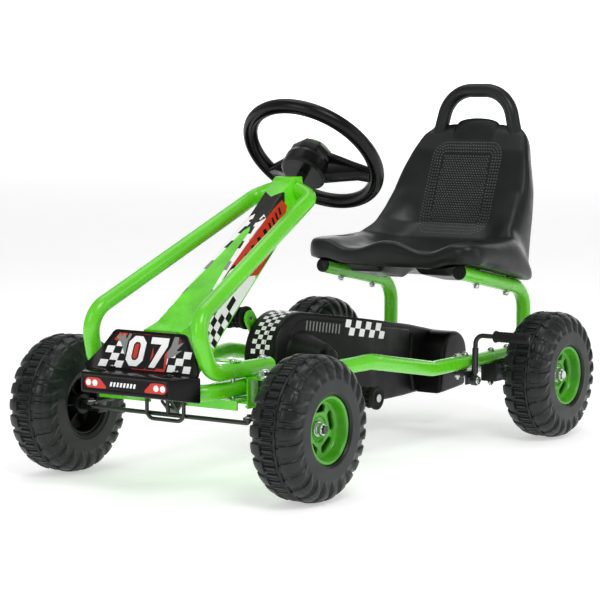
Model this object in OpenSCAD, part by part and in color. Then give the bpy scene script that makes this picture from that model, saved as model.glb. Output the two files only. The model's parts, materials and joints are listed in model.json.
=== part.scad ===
// Pedal go kart. The driver faces -Y, +X is the driver's left and +Z is up.
// Sub-parts are drawn in a chassis frame whose origin is on the ground half way between the
// axles, and on_chassis() moves them to the model's origin, the bottom centre of its box.

/* [Chassis] */
// Distance between the front and rear axles
wheelbase = 718; // [710:1:726]
// Height of both axles, which is the tyre radius
axle_z = 108; // [108:1:108]
// Distance between the centres of the two front tyres
front_track = 453; // [446:1:460]
// Distance between the centres of the two rear tyres
rear_track = 472; // [466:1:480]
// Outer diameter of the frame tubes
tube_d = 25; // [24:0.5:25]
// Wall thickness of the frame tubes
tube_wall = 1.5; // [1.2:0.1:2]
// How far the middle of the whole kart's length lies behind the middle of its wheelbase
mid_shift = 21; // [20:0.1:32]

/* [Wheels] */
// Tyre width
tyre_w = 80.4; // [76:0.4:84]
// Radius of the rim lip on the outer side
lip_r = 50.9; // [49:0.1:50.9]
// Number of lightening slots in each hub cover
hub_slots = 5; // [4:1:6]

/* [Steering] */
// Outer diameter of the steering wheel
wheel_d = 246; // [230:2:260]
// Thickness of the steering wheel's rim
rim_d = 24; // [20:1:26]
// Diameter of the steering column
column_d = 16; // [14:1:16]
// Length of the knuckles' steering arms, kingpin to tie rod
arm_r = 39; // [38:1:40]

/* [Drive] */
// Teeth on the chainring
ring_teeth = 25; // [25:1:25]
// Teeth on the rear sprocket
sprocket_teeth = 15; // [15:1:15]
// Links in the chain
links = 84; // [84:1:84]
// Length of the crank arms
crank_r = 80; // [76:1:84]
// Angle of the left crank arm, from straight back, upwards
crank_angle = -52.7; // [-60:0.1:-45]

/* [Seat] */
// Slope of the seat tubes, down towards the rear
seat_slope = 11; // [10:0.5:12]
// Width of the seat
seat_w = 344; // [330:2:350]
// Wall thickness of the blow-moulded seat
seat_wall = 3; // [2.5:0.5:4]

/* [Hidden] */
$fn = 96;
front_y = -wheelbase / 2;
rear_y = wheelbase / 2;
tyre_r = axle_z;
tube_r = tube_d / 2;
bore_r = tube_r - tube_wall;
green = [0.36, 0.78, 0.13];
black = [0.09, 0.09, 0.1];
steel = [0.8, 0.81, 0.83];
nylon = [0.85, 0.85, 0.82];

// Fits
run_gap = 0.05;   // radial gap of a running fit
part_gap = 0.1;   // gap between parts that only meet
bolt_r = 3;
bolt_hole_r = 3.2;
screw_r = 2;

// Front axle and steering
beam_front = -402;
beam_rear = -338;
beam_top = 144;
beam_bottom = 130;
sheet = 3;
kingpin_x = 148;
kingpin_r = 5;
ear_low = [130, 133];
ear_high = [172, 175];
front_axle_r = 6;
knuckle_x = 158;
arm_z = 117;
rod_z = 113;
rod_r = 3.5;
tilt = 45;
wheel_c = [0, -13.8, 488.9];
column_len = 526.4;

// Wheels, each drawn with its axle along Z and its outer side at +Z
tyre_half = tyre_w / 2;
bead_r = 47;
cover_back = 2;
boss_end = 14.9;
core_back = -30;
axle_end = 29;
rear_axle_r = 7.5;

// Rails and seat tubes
rail_x = 138;
rail_z = 134;
rail_end = 250;
swage_r = 10.9;
swage_from = 205;
seat_front = [rail_x, 223, 287];
seat_run_z = 12.6;

// Chain drive, in the plane of X
pitch = 12.7;
roller_r = 3.9;
tooth_tip = 1.6;    // height of the teeth over the pitch line
tooth_gap = 0.8;    // gap between a roller and the teeth beside it
chain_x = -28;
crank_y = -43.3;
crank_z = 162;
crank_axle_r = 8;
centre_dist = norm([rear_y - crank_y, axle_z - crank_z]);
centre_angle = atan2(axle_z - crank_z, rear_y - crank_y);
ring_r = pitch / 2 / sin(180 / ring_teeth);
sprocket_r = pitch / 2 / sin(180 / sprocket_teeth);
belt_angle = asin((ring_r - sprocket_r) / centre_dist);
ring_wrap = (180 + 2 * belt_angle) / 360 * ring_teeth;
sprocket_wrap = (180 - 2 * belt_angle) / 360 * sprocket_teeth;
run_links = (links - ring_wrap - sprocket_wrap) / 2;

// Chain guard
guard_out = -67;
guard_split = -28;
guard_in = -5;
guard_wall = 3;
guard_r = 73;

function unit(v) = v / norm(v);
function square_to(d) = unit(cross(d, abs(d[2]) < 0.9 ? [0, 0, 1] : [1, 0, 0]));
function mirror_x(points) = [for (p = points) [-p[0], p[1], p[2]]];
function backwards(points) = [for (i = [len(points) - 1:-1:0]) points[i]];
function arc(c, r, from, to, steps) =
    [for (i = [0:steps]) c + r * [cos(from + (to - from) * i / steps), sin(from + (to - from) * i / steps)]];

module on_chassis() {
    translate([0, -mid_shift, 0]) children();
}

// Places children with their X, Y and Z axes along x, y and z
module frame_at(origin, x, y, z) {
    multmatrix([
        [x[0], y[0], z[0], origin[0]],
        [x[1], y[1], z[1], origin[1]],
        [x[2], y[2], z[2], origin[2]],
        [0, 0, 0, 1]]) children();
}

module ring(outer, inner) {
    difference() {
        circle(r = outer);
        if (inner > 0) circle(r = inner);
    }
}

// A straight stretch of tube from a to b
module tube_run(a, b, outer, inner) {
    d = unit(b - a);
    x = square_to(d);
    frame_at(a, x, cross(d, x), d) linear_extrude(norm(b - a)) ring(outer, inner);
}

// A bend of radius `bend` at corner p, arriving along u and leaving along v
module tube_bend(p, u, v, bend, outer, inner) {
    turn = acos(u * v);
    n = unit(v - (u * v) * u);
    centre = p - bend * tan(turn / 2) * u + bend * n;
    frame_at(centre, -n, u, cross(-n, u))
        rotate_extrude(angle = turn) translate([bend, 0]) ring(outer, inner);
}

// A tube through points, bent at each inner one. Bends are a hair larger than the straight
// runs, which slide a little way into them, so the stretches join cleanly.
module bent_tube(points, bends, outer, inner) {
    last = len(points) - 1;
    hair = 0.06;
    slip = 1;
    d = [for (i = [0:last - 1]) unit(points[i + 1] - points[i])];
    cut = [for (i = [0:last]) i == 0 || i == last ? 0 : bends[i - 1] * tan(acos(d[i - 1] * d[i]) / 2)];
    union() {
        for (i = [0:last - 1]) {
            a = points[i] + d[i] * (cut[i] - (i == 0 ? 0 : slip));
            b = points[i + 1] - d[i] * (cut[i + 1] - (i == last - 1 ? 0 : slip));
            tube_run(a, b, outer, inner);
        }
        for (i = [1:last - 1])
            tube_bend(points[i], d[i - 1], d[i], bends[i - 1], outer + hair, inner > 0 ? inner + hair : 0);
    }
}

module along_x(x, y, z) {
    translate([x, y, z]) rotate([0, 90, 0]) children();
}

module both_sides() {
    children();
    mirror([1, 0, 0]) children();
}

// A plate of constant thickness in the plane of X, from x0 to x1, whose outline is in Y and Z
module side_plate(x0, x1) {
    translate([x0, 0, 0])
        frame_at([0, 0, 0], [0, 1, 0], [0, 0, 1], [1, 0, 0])
            linear_extrude(x1 - x0) children();
}

// ---- Frame ----

rail_half = [
    [rail_x, rail_end, rail_z],
    [rail_x, 135, rail_z],
    [rail_x, -55, 166],
    [100, -445, 157]];
hoop_path = [
    [20, -88, 436],
    [53, -98, 425],
    [98.7, -462, 262],
    [107, -436, 185.5],
    [115, -300, 185.5]];
hoop_bolt_y = [-385, -316];
rail_bolt_y = [217, 242];
bearing_bolt_y = [331, 387];
panel_screw_x = 60;
panel_screw_y = -451;

function hoop_x(y) = 107 + (y + 436) / 136 * 8;

module bolt_holes(x, ys, r) {
    for (y = ys) translate([x, y, 0]) cylinder(r = r, h = 205);
}

module main_frame_tube() {
    color(green) on_chassis() difference() {
        bent_tube(concat(rail_half, backwards(mirror_x(rail_half))), [60, 60, 32, 32, 60, 60], tube_r, bore_r);
        both_sides() {
            bolt_holes(rail_x, rail_bolt_y, bolt_hole_r);
            for (y = hoop_bolt_y) bolt_holes(hoop_x(y), [y], bolt_hole_r);
            bolt_holes(panel_screw_x, [panel_screw_y], screw_r + part_gap);
        }
    }
}

module hoop_tube() {
    difference() {
        bent_tube(hoop_path, [28, 40, 30], tube_r, bore_r);
        for (y = hoop_bolt_y) bolt_holes(hoop_x(y), [y], bolt_hole_r);
    }
}

module hoop_tube_left() {
    color(green) on_chassis() hoop_tube();
}

module hoop_tube_right() {
    color(green) on_chassis() mirror([1, 0, 0]) hoop_tube();
}

module ear(z) {
    translate([0, front_y, z[0]]) difference() {
        union() {
            translate([120, -9.5, 0]) cube([kingpin_x - 120, 19, z[1] - z[0]]);
            translate([kingpin_x, 0, 0]) cylinder(r = 9.5, h = z[1] - z[0]);
        }
        translate([kingpin_x, 0, -1]) cylinder(r = kingpin_r + part_gap, h = 10);
    }
}

// Runs children along the steering axis, with Z up it and the wheel's centre at the origin
module on_column() {
    translate(wheel_c) rotate([-tilt, 0, 0]) children();
}

lower_bush_s = -478;
upper_bush_s = -104;
sleeve_half = 15;

module beam_channel() {
    difference() {
        translate([-129, beam_front, beam_bottom])
            cube([258, beam_rear - beam_front, beam_top - beam_bottom]);
        translate([-130, beam_front + sheet, beam_bottom - 1])
            cube([260, beam_rear - beam_front - 2 * sheet, beam_top - beam_bottom - sheet + 1]);
    }
}

module front_axle_beam() {
    color(green) on_chassis() difference() {
        union() {
            difference() {
                beam_channel();
                translate([-31, beam_front - 1, beam_bottom - 1]) cube([62, 30, 30]);
            }
            both_sides() {
                translate([129, front_y - 19, ear_low[0]]) cube([sheet, 38, ear_high[1] - ear_low[0]]);
                ear(ear_low);
                ear(ear_high);
            }
            on_column() translate([0, 0, lower_bush_s - sleeve_half]) cylinder(r = 13, h = 2 * sleeve_half);
        }
        on_column() translate([0, 0, -column_len - 30]) cylinder(r = 11, h = 120);
        both_sides() for (y = hoop_bolt_y) bolt_holes(hoop_x(y), [y], bolt_hole_r);
    }
}

module column_bracket() {
    start = hoop_path[0];
    d = unit(hoop_path[1] - start);
    inner = start - d * (start[0] / d[0]);
    color(green) on_chassis() difference() {
        union() {
            on_column() translate([0, 0, upper_bush_s - sleeve_half]) cylinder(r = 14, h = 2 * sleeve_half);
            both_sides() tube_run(inner, start + 15 * d, bore_r - part_gap, 0);
        }
        on_column() translate([0, 0, upper_bush_s - sleeve_half - 1]) cylinder(r = 11, h = 2 * sleeve_half + 30);
    }
}

module bush(outer, inner, length) {
    difference() {
        cylinder(r = outer - run_gap, h = length, center = true);
        cylinder(r = inner + run_gap, h = length + 1, center = true);
    }
}

module nylon_bushes() {
    color(nylon) on_chassis() {
        for (s = [lower_bush_s, upper_bush_s])
            on_column() translate([0, 0, s]) bush(11, column_d / 2, 2 * sleeve_half);
        for (x = [8, 28]) along_x(x, crank_y, crank_z) bush(14, crank_axle_r, 14);
    }
}

spine_x = [3, 27];

module centre_spine() {
    color(green) on_chassis() difference() {
        union() {
            difference() {
                side_plate(spine_x[0], spine_x[1])
                    polygon([[beam_rear, 122], [-43, 138], [-43, 162], [beam_rear, 146]]);
                side_plate(spine_x[0] + 2, spine_x[1] - 2)
                    polygon([[beam_rear + 2, 124], [-70, 139], [-70, 158], [beam_rear + 2, 144]]);
            }
            along_x(0, crank_y, crank_z) cylinder(r = 18, h = 36);
        }
        along_x(-1, crank_y, crank_z) cylinder(r = 14, h = 38);
    }
}

module rear_crossbar() {
    color(black) on_chassis() difference() {
        translate([-155, 211, 116]) cube([310, 37, 5.3]);
        both_sides() bolt_holes(rail_x, rail_bolt_y, bolt_hole_r);
    }
}

seat_rear_y = 447;
seat_rear_z = seat_front[2] - (seat_rear_y - seat_front[1]) * tan(seat_slope);
seat_path = [
    seat_front,
    [rail_x, seat_rear_y, seat_rear_z],
    [rail_x, seat_rear_y, rail_z],
    [rail_x, 396, rail_z]];
seat_bolt_s = [60, 165];

// Runs children in the seat's sliding frame: Y down the seat tubes, Z square to them
module on_seat_run() {
    translate([0, seat_front[1], seat_front[2]]) rotate([-seat_slope, 0, 0]) children();
}

module seat_tube() {
    difference() {
        union() {
            bent_tube(seat_path, [44, 40], tube_r, bore_r);
            translate([rail_x, 399, rail_z]) rotate([90, 0, 0]) linear_extrude(4) ring(tube_r, swage_r - tube_wall);
            translate([rail_x, 397, rail_z]) rotate([90, 0, 0])
                linear_extrude(397 - swage_from) ring(swage_r, swage_r - tube_wall);
        }
        bolt_holes(rail_x, concat(rail_bolt_y, bearing_bolt_y), bolt_hole_r);
        on_seat_run() for (s = seat_bolt_s) translate([rail_x, s, -30]) cylinder(r = bolt_hole_r, h = 60);
    }
}

module seat_tube_left() {
    color(green) on_chassis() seat_tube();
}

module seat_tube_right() {
    color(green) on_chassis() mirror([1, 0, 0]) seat_tube();
}

module tube_end_caps() {
    color(black) on_chassis() both_sides() on_seat_run() translate([rail_x, 0, 0]) rotate([90, 0, 0]) {
        translate([0, 0, part_gap]) cylinder(r = tube_r, h = 3);
        translate([0, 0, -12]) cylinder(r = bore_r - part_gap, h = 12.5);
    }
}

module axle_bearing() {
    difference() {
        translate([rail_x - 14, 322, 92]) cube([28, 72.5, rail_z - swage_r - part_gap - 92]);
        along_x(rail_x - 20, rear_y, axle_z) cylinder(r = rear_axle_r + run_gap, h = 40);
        bolt_holes(rail_x, bearing_bolt_y, bolt_hole_r);
    }
}

module axle_bearing_left() {
    color(black) on_chassis() axle_bearing();
}

module axle_bearing_right() {
    color(black) on_chassis() mirror([1, 0, 0]) axle_bearing();
}

loop_path = [
    [34.5, -405.1, 141],
    [34.5, -405.1, 106],
    [-34.5, -405.1, 106],
    [-34.5, -405.1, 141]];

module tie_rod_guard() {
    color(black) on_chassis() bent_tube(loop_path, [12, 12], 3, 0);
}

// ---- Plastic panels ----

module bumper_box(inset) {
    translate([0, 0, 151 + inset]) linear_extrude(36 - 2 * inset)
        polygon([
            [-80 + inset, -495 + inset], [80 - inset, -495 + inset],
            [104 - inset, -458.2 + (inset > 0 ? 1 : 0)], [-104 + inset, -458.2 + (inset > 0 ? 1 : 0)]]);
}

module front_bumper_panel() {
    lean = atan(17 / 58);
    color(black) on_chassis() difference() {
        union() {
            difference() {
                bumper_box(0);
                bumper_box(3);
            }
            translate([-84, -459, 184]) cube([168, 17, 3]);
            translate([0, -444, 185]) rotate([-lean, 0, 0]) rotate([90, 0, 0])
                linear_extrude(4, center = true)
                    polygon([[-84, 0], [84, 0], [84, 32], [70, 62], [-70, 62], [-84, 32]]);
        }
        both_sides() bolt_holes(panel_screw_x, [panel_screw_y], screw_r + part_gap);
    }
}

// One cross-section of the shroud, wider at the bottom, as a thin slab
module shroud_section(y, low, high, half_low, half_high) {
    translate([0, y, 0]) rotate([90, 0, 0]) linear_extrude(0.5)
        polygon([[-half_low, low], [half_low, low], [half_high, high], [-half_high, high]]);
}

module shroud_form(inset, run) {
    hull() {
        shroud_section(-112 + run, 392 - 3 * run, 432 - inset, 31 - inset, 15 - inset / 2);
        shroud_section(-236, 290 - 3 * run, 351 - inset, 52 - inset, 22 - inset / 2);
    }
    hull() {
        shroud_section(-236, 290 - 3 * run, 351 - inset, 52 - inset, 22 - inset / 2);
        shroud_section(-378 - run, 198 - 3 * run, 249 - inset, 80 - inset, 32 - inset / 2);
    }
}

module steering_shroud() {
    color(green) on_chassis() difference() {
        union() {
            difference() {
                shroud_form(0, 0);
                shroud_form(3, 5);
            }
            both_sides() translate([75, -393, 198.1]) cube([42, 24, 2]);
        }
        both_sides() bolt_holes(hoop_x(hoop_bolt_y[0]), [hoop_bolt_y[0]], bolt_hole_r);
    }
}

// Outline of the chain guard in Y and Z, drawn in by `inset`
function guard_outline(inset) = concat(
    arc([crank_y, crank_z], guard_r - inset, 80, 270 - 18, 24),
    [[150, 60 + inset], [280, 60 + inset], [345, 62 + inset], [415 - inset, 68 + inset]],
    arc([380, 127], 40 - inset, 0, 80, 8),
    [[300, 184 - inset], [150, 207.5 - inset]]);

// Bulge of the guard around the rear axle's end of the drive
function guard_tail(inset) = concat(
    [[300 + inset, 61 + inset], [345, 62 + inset], [415 - inset, 68 + inset]],
    arc([380, 127], 40 - inset, 0, 90, 8),
    [[335, 167 - inset], [300 + inset, 150]]);

module guard_half(x0, x1, wall_x0, wall_x1) {
    difference() {
        side_plate(x0, x1) polygon(guard_outline(0));
        side_plate(x0 - 1, x1 + 1) polygon(guard_outline(guard_wall));
    }
    side_plate(wall_x0, wall_x1) polygon(guard_outline(guard_wall - 1));
}

tail_x = 40;

// The rear crossbar runs through both halves, between the chain's two runs
module crossbar_slot() {
    translate([guard_out - 5, 208, 113]) cube([80, 43, 11]);
}

module chain_guard_left() {
    color(black) on_chassis() difference() {
        union() {
            guard_half(guard_split, guard_in, guard_in - guard_wall, guard_in);
            side_plate(guard_in - 1, tail_x) difference() {
                polygon(guard_tail(0));
                polygon(guard_tail(guard_wall));
            }
            side_plate(tail_x - guard_wall, tail_x) polygon(guard_tail(1));
            along_x(guard_in - 1, crank_y, crank_z) difference() {
                cylinder(r1 = 42, r2 = 28, h = 34);
                translate([0, 0, -1]) cylinder(r1 = 39.5, r2 = 24.5, h = 36);
            }
        }
        along_x(guard_in - 20, crank_y, crank_z) cylinder(r = 19, h = 40);
        translate([spine_x[0] - 1, -150, 120]) cube([spine_x[1] - spine_x[0] + 2, 107, 60]);
        along_x(guard_in - 20, rear_y, axle_z) cylinder(r = rear_axle_r + 2, h = 80);
        crossbar_slot();
    }
}

module chain_guard_right() {
    color(black) on_chassis() difference() {
        guard_half(guard_out, guard_split - part_gap, guard_out, guard_out + guard_wall);
        along_x(guard_out - 5, crank_y, crank_z) cylinder(r = crank_axle_r + 2, h = 40);
        along_x(guard_out - 5, rear_y, axle_z) cylinder(r = rear_axle_r + 2, h = 40);
        crossbar_slot();
    }
}

// ---- Chain drive ----

// Where roller i lies, in Y and Z: over the chainring's front, along the bottom run, round the
// sprocket's back and along the top run
function wrap_point(c, r, a) = c + r * [cos(a), sin(a)];
ring_c = [crank_y, crank_z];
sprocket_c = [rear_y, axle_z];
ring_start = centre_angle + 90 - belt_angle;
sprocket_start = centre_angle - 90 + belt_angle;
function along_run(a, b, t) = a + (b - a) * t;
function roller_at(i) =
    i < ring_wrap ? wrap_point(ring_c, ring_r, ring_start + i * 360 / ring_teeth) :
    i < ring_wrap + run_links ? along_run(
        wrap_point(ring_c, ring_r, ring_start + ring_wrap * 360 / ring_teeth),
        wrap_point(sprocket_c, sprocket_r, sprocket_start), (i - ring_wrap) / run_links) :
    i < links - run_links ? wrap_point(sprocket_c, sprocket_r,
        sprocket_start + (i - ring_wrap - run_links) * 360 / sprocket_teeth) :
    along_run(
        wrap_point(sprocket_c, sprocket_r, sprocket_start + sprocket_wrap * 360 / sprocket_teeth),
        wrap_point(ring_c, ring_r, ring_start), (i - links + run_links) / run_links);

// The chain's band, `off` outside the pitch line
function chain_band(off) = concat(
    arc(ring_c, ring_r + off, ring_start, ring_start + ring_wrap * 360 / ring_teeth, 24),
    arc(sprocket_c, sprocket_r + off, sprocket_start,
        sprocket_start + sprocket_wrap * 360 / sprocket_teeth, 16));

module drive_chain() {
    color(steel) on_chassis() union() {
        for (side = [-1, 1]) side_plate(chain_x + side * 3.5 - 0.6, chain_x + side * 3.5 + 0.6) difference() {
            polygon(chain_band(4));
            polygon(chain_band(-4));
        }
        for (i = [0:links - 1]) along_x(chain_x - 3.3, roller_at(i)[0], roller_at(i)[1])
            cylinder(r = roller_r, h = 6.6, $fn = 24);
    }
}

// A toothed wheel in Y and Z with one tooth gap at angle `first`
module toothed(teeth, r, first, inner) {
    difference() {
        circle(r = r + tooth_tip);
        for (i = [0:teeth - 1]) rotate(first + i * 360 / teeth)
            translate([r, 0]) circle(r = roller_r + tooth_gap, $fn = 24);
        circle(r = inner);
    }
}

module chainring() {
    color(steel) on_chassis() translate([0, crank_y, crank_z]) difference() {
        union() {
            side_plate(chain_x - 1.5, chain_x + 1.5)
                toothed(ring_teeth, ring_r, ring_start, crank_axle_r + run_gap);
            side_plate(chain_x - 8, chain_x - 1) ring(14, crank_axle_r + run_gap);
        }
        for (i = [0:4]) rotate([i * 72, 0, 0]) translate([chain_x - 5, 30, 0]) rotate([0, 90, 0]) cylinder(r = 7, h = 10);
    }
}

sprocket_first = sprocket_start + (ceil(ring_wrap + run_links) - ring_wrap - run_links) * 360 / sprocket_teeth;

module rear_sprocket() {
    color(steel) on_chassis() translate([0, rear_y, axle_z]) {
        side_plate(chain_x - 1.5, chain_x + 1.5)
            toothed(sprocket_teeth, sprocket_r, sprocket_first, rear_axle_r + run_gap);
        side_plate(chain_x + 1.5, chain_x + 10) ring(13, rear_axle_r + run_gap);
    }
}

// Inner faces of the crank arms, left and right: the guard needs more room on the right
arm_in = [51.5, 68.5];
arm_t = 5;

module crank_axle() {
    color(steel) on_chassis() along_x(-arm_in[1] - arm_t, crank_y, crank_z)
        cylinder(r = crank_axle_r, h = arm_in[0] + arm_in[1] + 2 * arm_t);
}

// Places children at a crank pin: side is 1 for left and -1 for right
module at_pin(side) {
    translate([0, crank_y + side * crank_r * cos(crank_angle), crank_z + side * crank_r * sin(crank_angle)])
        children();
}

module crank_arm(side) {
    lo = side > 0 ? arm_in[0] : -arm_in[1] - arm_t;
    difference() {
        translate([0, crank_y, crank_z]) rotate([crank_angle + (side > 0 ? 0 : 180), 0, 0]) {
            side_plate(lo, lo + arm_t) {
                circle(r = 15);
                translate([crank_r, 0]) circle(r = 13);
                translate([0, -13]) square([crank_r, 26]);
            }
        }
        along_x(lo - 1, crank_y, crank_z) cylinder(r = crank_axle_r + run_gap, h = 7);
        at_pin(side) along_x(lo - 1, 0, 0) cylinder(r = 4 + run_gap, h = 7);
    }
}

module crank_arm_left() {
    color(green) on_chassis() crank_arm(1);
}

module crank_arm_right() {
    color(green) on_chassis() crank_arm(-1);
}

pedal_gap = 7;
pedal_out = 114;

module pedal_spindles() {
    color(steel) on_chassis() for (side = [-1, 1]) at_pin(side) rotate([0, side * 90, 0]) {
        inner = side > 0 ? arm_in[0] : arm_in[1];
        translate([0, 0, inner]) cylinder(r = 4, h = pedal_out + 1 - inner);
        translate([0, 0, pedal_out + part_gap]) cylinder(r = 6.5, h = 2);
    }
}

// A ribbed spool between two flanges
module pedal(pedal_in) {
    flange = 6;
    spool = pedal_out - pedal_in - 3;
    difference() {
        union() {
            for (z = [pedal_in, pedal_out - flange]) translate([0, 0, z]) cylinder(r = 19, h = flange);
            translate([0, 0, pedal_in + 1.5]) cylinder(r = 10, h = spool);
            for (a = [0:60:300]) rotate(a) translate([8, -2.5, pedal_in + 1.5]) cube([8, 5, spool]);
        }
        translate([0, 0, 50]) cylinder(r = 4 + run_gap, h = 80);
    }
}

module pedal_left() {
    color(black) on_chassis() at_pin(1) rotate([0, 90, 0]) pedal(arm_in[0] + pedal_gap);
}

module pedal_right() {
    color(black) on_chassis() at_pin(-1) rotate([0, -90, 0]) pedal(arm_in[1] + pedal_gap);
}

// ---- Wheels ----

module tyre() {
    rotate_extrude() polygon([
        [bead_r, -36], [58, -tyre_half], [88, -tyre_half], [99, -37], [105, -31], [tyre_r, -20],
        [tyre_r, 20], [105, 31], [99, 37], [88, tyre_half], [58, tyre_half], [lip_r + part_gap, 37],
        [lip_r + part_gap, 30], [bead_r, 30]]);
}

module hub_cover(axle_r) {
    edge = bead_r - part_gap;
    difference() {
        rotate_extrude() polygon([
            [axle_r + run_gap, cover_back], [14, cover_back], [14, 11], [18, 14], [40, 14], [42.5, 11],
            [42.5, cover_back], [edge, cover_back], [edge, 30 + part_gap], [lip_r, 30 + part_gap],
            [lip_r, 35], [46.5, 36], [44.5, 34], [42, 20], [39, 18], [19, 18], [18.5, boss_end],
            [axle_r + run_gap, boss_end]]);
        for (i = [0:hub_slots - 1]) rotate(36 + i * 360 / hub_slots) translate([30.5, 0, 0]) {
            for (y = [-9, 9]) translate([0, y, 12]) cylinder(r = 6, h = 8);
            translate([-6, -9, 12]) cube([12, 18, 8]);
        }
    }
}

module wheel_core(axle_r) {
    edge = bead_r - part_gap;
    front = cover_back - part_gap;
    rotate_extrude() polygon([
        [axle_r + run_gap, core_back], [16, core_back], [18, -8], [42, -8], [43, -34], [edge, -34],
        [edge, front], [axle_r + run_gap, front]]);
}

// Puts children at a wheel's place: side is 1 for left, -1 for right
module at_wheel(side, front) {
    x = side * (front ? front_track : rear_track) / 2;
    translate([x, front ? front_y : rear_y, axle_z]) rotate([0, side * 90, 0]) children();
}

module tyre_front_left() {
    color(black) on_chassis() at_wheel(1, true) tyre();
}

module tyre_front_right() {
    color(black) on_chassis() at_wheel(-1, true) tyre();
}

module tyre_rear_left() {
    color(black) on_chassis() at_wheel(1, false) tyre();
}

module tyre_rear_right() {
    color(black) on_chassis() at_wheel(-1, false) tyre();
}

module wheel_core_front_left() {
    color(black) on_chassis() at_wheel(1, true) wheel_core(front_axle_r);
}

module wheel_core_front_right() {
    color(black) on_chassis() at_wheel(-1, true) wheel_core(front_axle_r);
}

module wheel_core_rear_left() {
    color(black) on_chassis() at_wheel(1, false) wheel_core(rear_axle_r);
}

module wheel_core_rear_right() {
    color(black) on_chassis() at_wheel(-1, false) difference() {
        wheel_core(rear_axle_r);
        translate([-20, 0, -24]) rotate([0, 90, 0]) cylinder(r = 3 + part_gap, h = 40);
    }
}

module hub_cover_front_left() {
    color(green) on_chassis() at_wheel(1, true) hub_cover(front_axle_r);
}

module hub_cover_front_right() {
    color(green) on_chassis() at_wheel(-1, true) hub_cover(front_axle_r);
}

module hub_cover_rear_left() {
    color(green) on_chassis() at_wheel(1, false) hub_cover(rear_axle_r);
}

module hub_cover_rear_right() {
    color(green) on_chassis() at_wheel(-1, false) hub_cover(rear_axle_r);
}

// Washer and nut on a wheel's outer side
module axle_nut(axle_r) {
    translate([0, 0, boss_end + part_gap]) linear_extrude(1.6) ring(axle_r * 1.9, axle_r + run_gap);
    translate([0, 0, boss_end + 1.8]) linear_extrude(8.5) difference() {
        circle(r = axle_r * 1.7, $fn = 6);
        circle(r = axle_r + run_gap);
    }
}

module axle_nut_front_left() {
    color(steel) on_chassis() at_wheel(1, true) axle_nut(front_axle_r);
}

module axle_nut_front_right() {
    color(steel) on_chassis() at_wheel(-1, true) axle_nut(front_axle_r);
}

module rear_axle() {
    length = rear_track + 2 * axle_end;
    color(steel) on_chassis() difference() {
        along_x(-length / 2, rear_y, axle_z) cylinder(r = rear_axle_r, h = length);
        at_wheel(-1, false) translate([-20, 0, -24]) rotate([0, 90, 0]) cylinder(r = 3 + part_gap, h = 40);
    }
}

module rear_axle_fittings() {
    spacer_from = rail_x + 14.3;
    spacer_to = rear_track / 2 + core_back - 0.3;
    color(steel) on_chassis() {
        for (side = [-1, 1]) at_wheel(side, false) axle_nut(rear_axle_r);
        both_sides() along_x(spacer_from, rear_y, axle_z)
            linear_extrude(spacer_to - spacer_from) ring(10, rear_axle_r + run_gap);
        at_wheel(-1, false) translate([-16, 0, -24]) rotate([0, 90, 0]) cylinder(r = 3, h = 32);
    }
}

// ---- Steering ----

lever_t = 4;
lever_slot = [17.9, 21.2];   // from the column to the two ends' centres
slot_r = 6.6;

// Lever whose slot drives the tie rod's leaning pin
module column_lever() {
    difference() {
        union() {
            cylinder(r = 10, h = lever_t);
            translate([-10, -lever_slot[1], 0]) cube([20, lever_slot[1], lever_t]);
            translate([0, -lever_slot[1], 0]) cylinder(r = 10, h = lever_t);
        }
        for (r = lever_slot) translate([0, -r, -1]) cylinder(r = slot_r, h = lever_t + 2);
        translate([-slot_r, -lever_slot[1], -1]) cube([2 * slot_r, lever_slot[1] - lever_slot[0], lever_t + 2]);
    }
}

module steering_column() {
    color(black) on_chassis() on_column() {
        translate([0, 0, -column_len]) cylinder(r = column_d / 2, h = column_len - 6.1);
        translate([0, 0, -10]) cylinder(r = 4, h = 16);
        translate([0, 0, -column_len - 2]) column_lever();
    }
}

module steering_wheel() {
    mid_r = wheel_d / 2 - rim_d / 2;
    color(black) on_chassis() on_column() difference() {
        union() {
            rotate_extrude() translate([mid_r, 0]) circle(r = rim_d / 2);
            translate([0, 0, -20]) cylinder(r = 34, h = 28);
            for (a = [0, 90, 180]) rotate(a) translate([28, -18, -10]) cube([mid_r - 28, 36, 9]);
        }
        translate([0, 0, -21]) cylinder(r = column_d / 2 + run_gap, h = 15);
        translate([0, 0, -10]) cylinder(r = 4 + run_gap, h = 20);
        translate([0, 0, -1]) cylinder(r = 13, h = 20);
    }
}

module steering_nut() {
    color(steel) on_chassis() on_column() translate([0, 0, -0.9]) linear_extrude(6.5) difference() {
        circle(r = 7.5, $fn = 6);
        circle(r = 4 + run_gap);
    }
}

module steering_hub_cap() {
    color(green) on_chassis() on_column() {
        translate([0, 0, 8.1]) cylinder(r1 = 26, r2 = 22, h = 5);
        translate([0, 0, 6.5]) linear_extrude(1.7) ring(12.5, 9);
    }
}

module knuckle() {
    y0 = front_y;
    difference() {
        union() {
            translate([kingpin_x, y0, ear_low[1] + part_gap]) cylinder(r = 9.5, h = ear_high[0] - ear_low[1] - 0.2);
            translate([kingpin_x, y0 - 5, 138]) cube([12, 10, 28]);
            translate([knuckle_x, y0 - 9, 98]) cube([5, 18, 72]);
            along_x(knuckle_x + 2, y0, axle_z) cylinder(r = front_axle_r, h = front_track / 2 + axle_end - knuckle_x - 2);
            along_x(knuckle_x + 4, y0, axle_z) cylinder(r = 9, h = front_track / 2 + core_back - knuckle_x - 4.3);
            translate([kingpin_x - 6, y0 - arm_r, arm_z]) cube([knuckle_x + 5 - kingpin_x + 6, arm_r + 9, 4]);
            translate([kingpin_x, y0 - arm_r, arm_z]) cylinder(r = 9, h = 4);
        }
        translate([kingpin_x, y0, 125]) cylinder(r = kingpin_r + run_gap, h = 60);
    }
}

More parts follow.
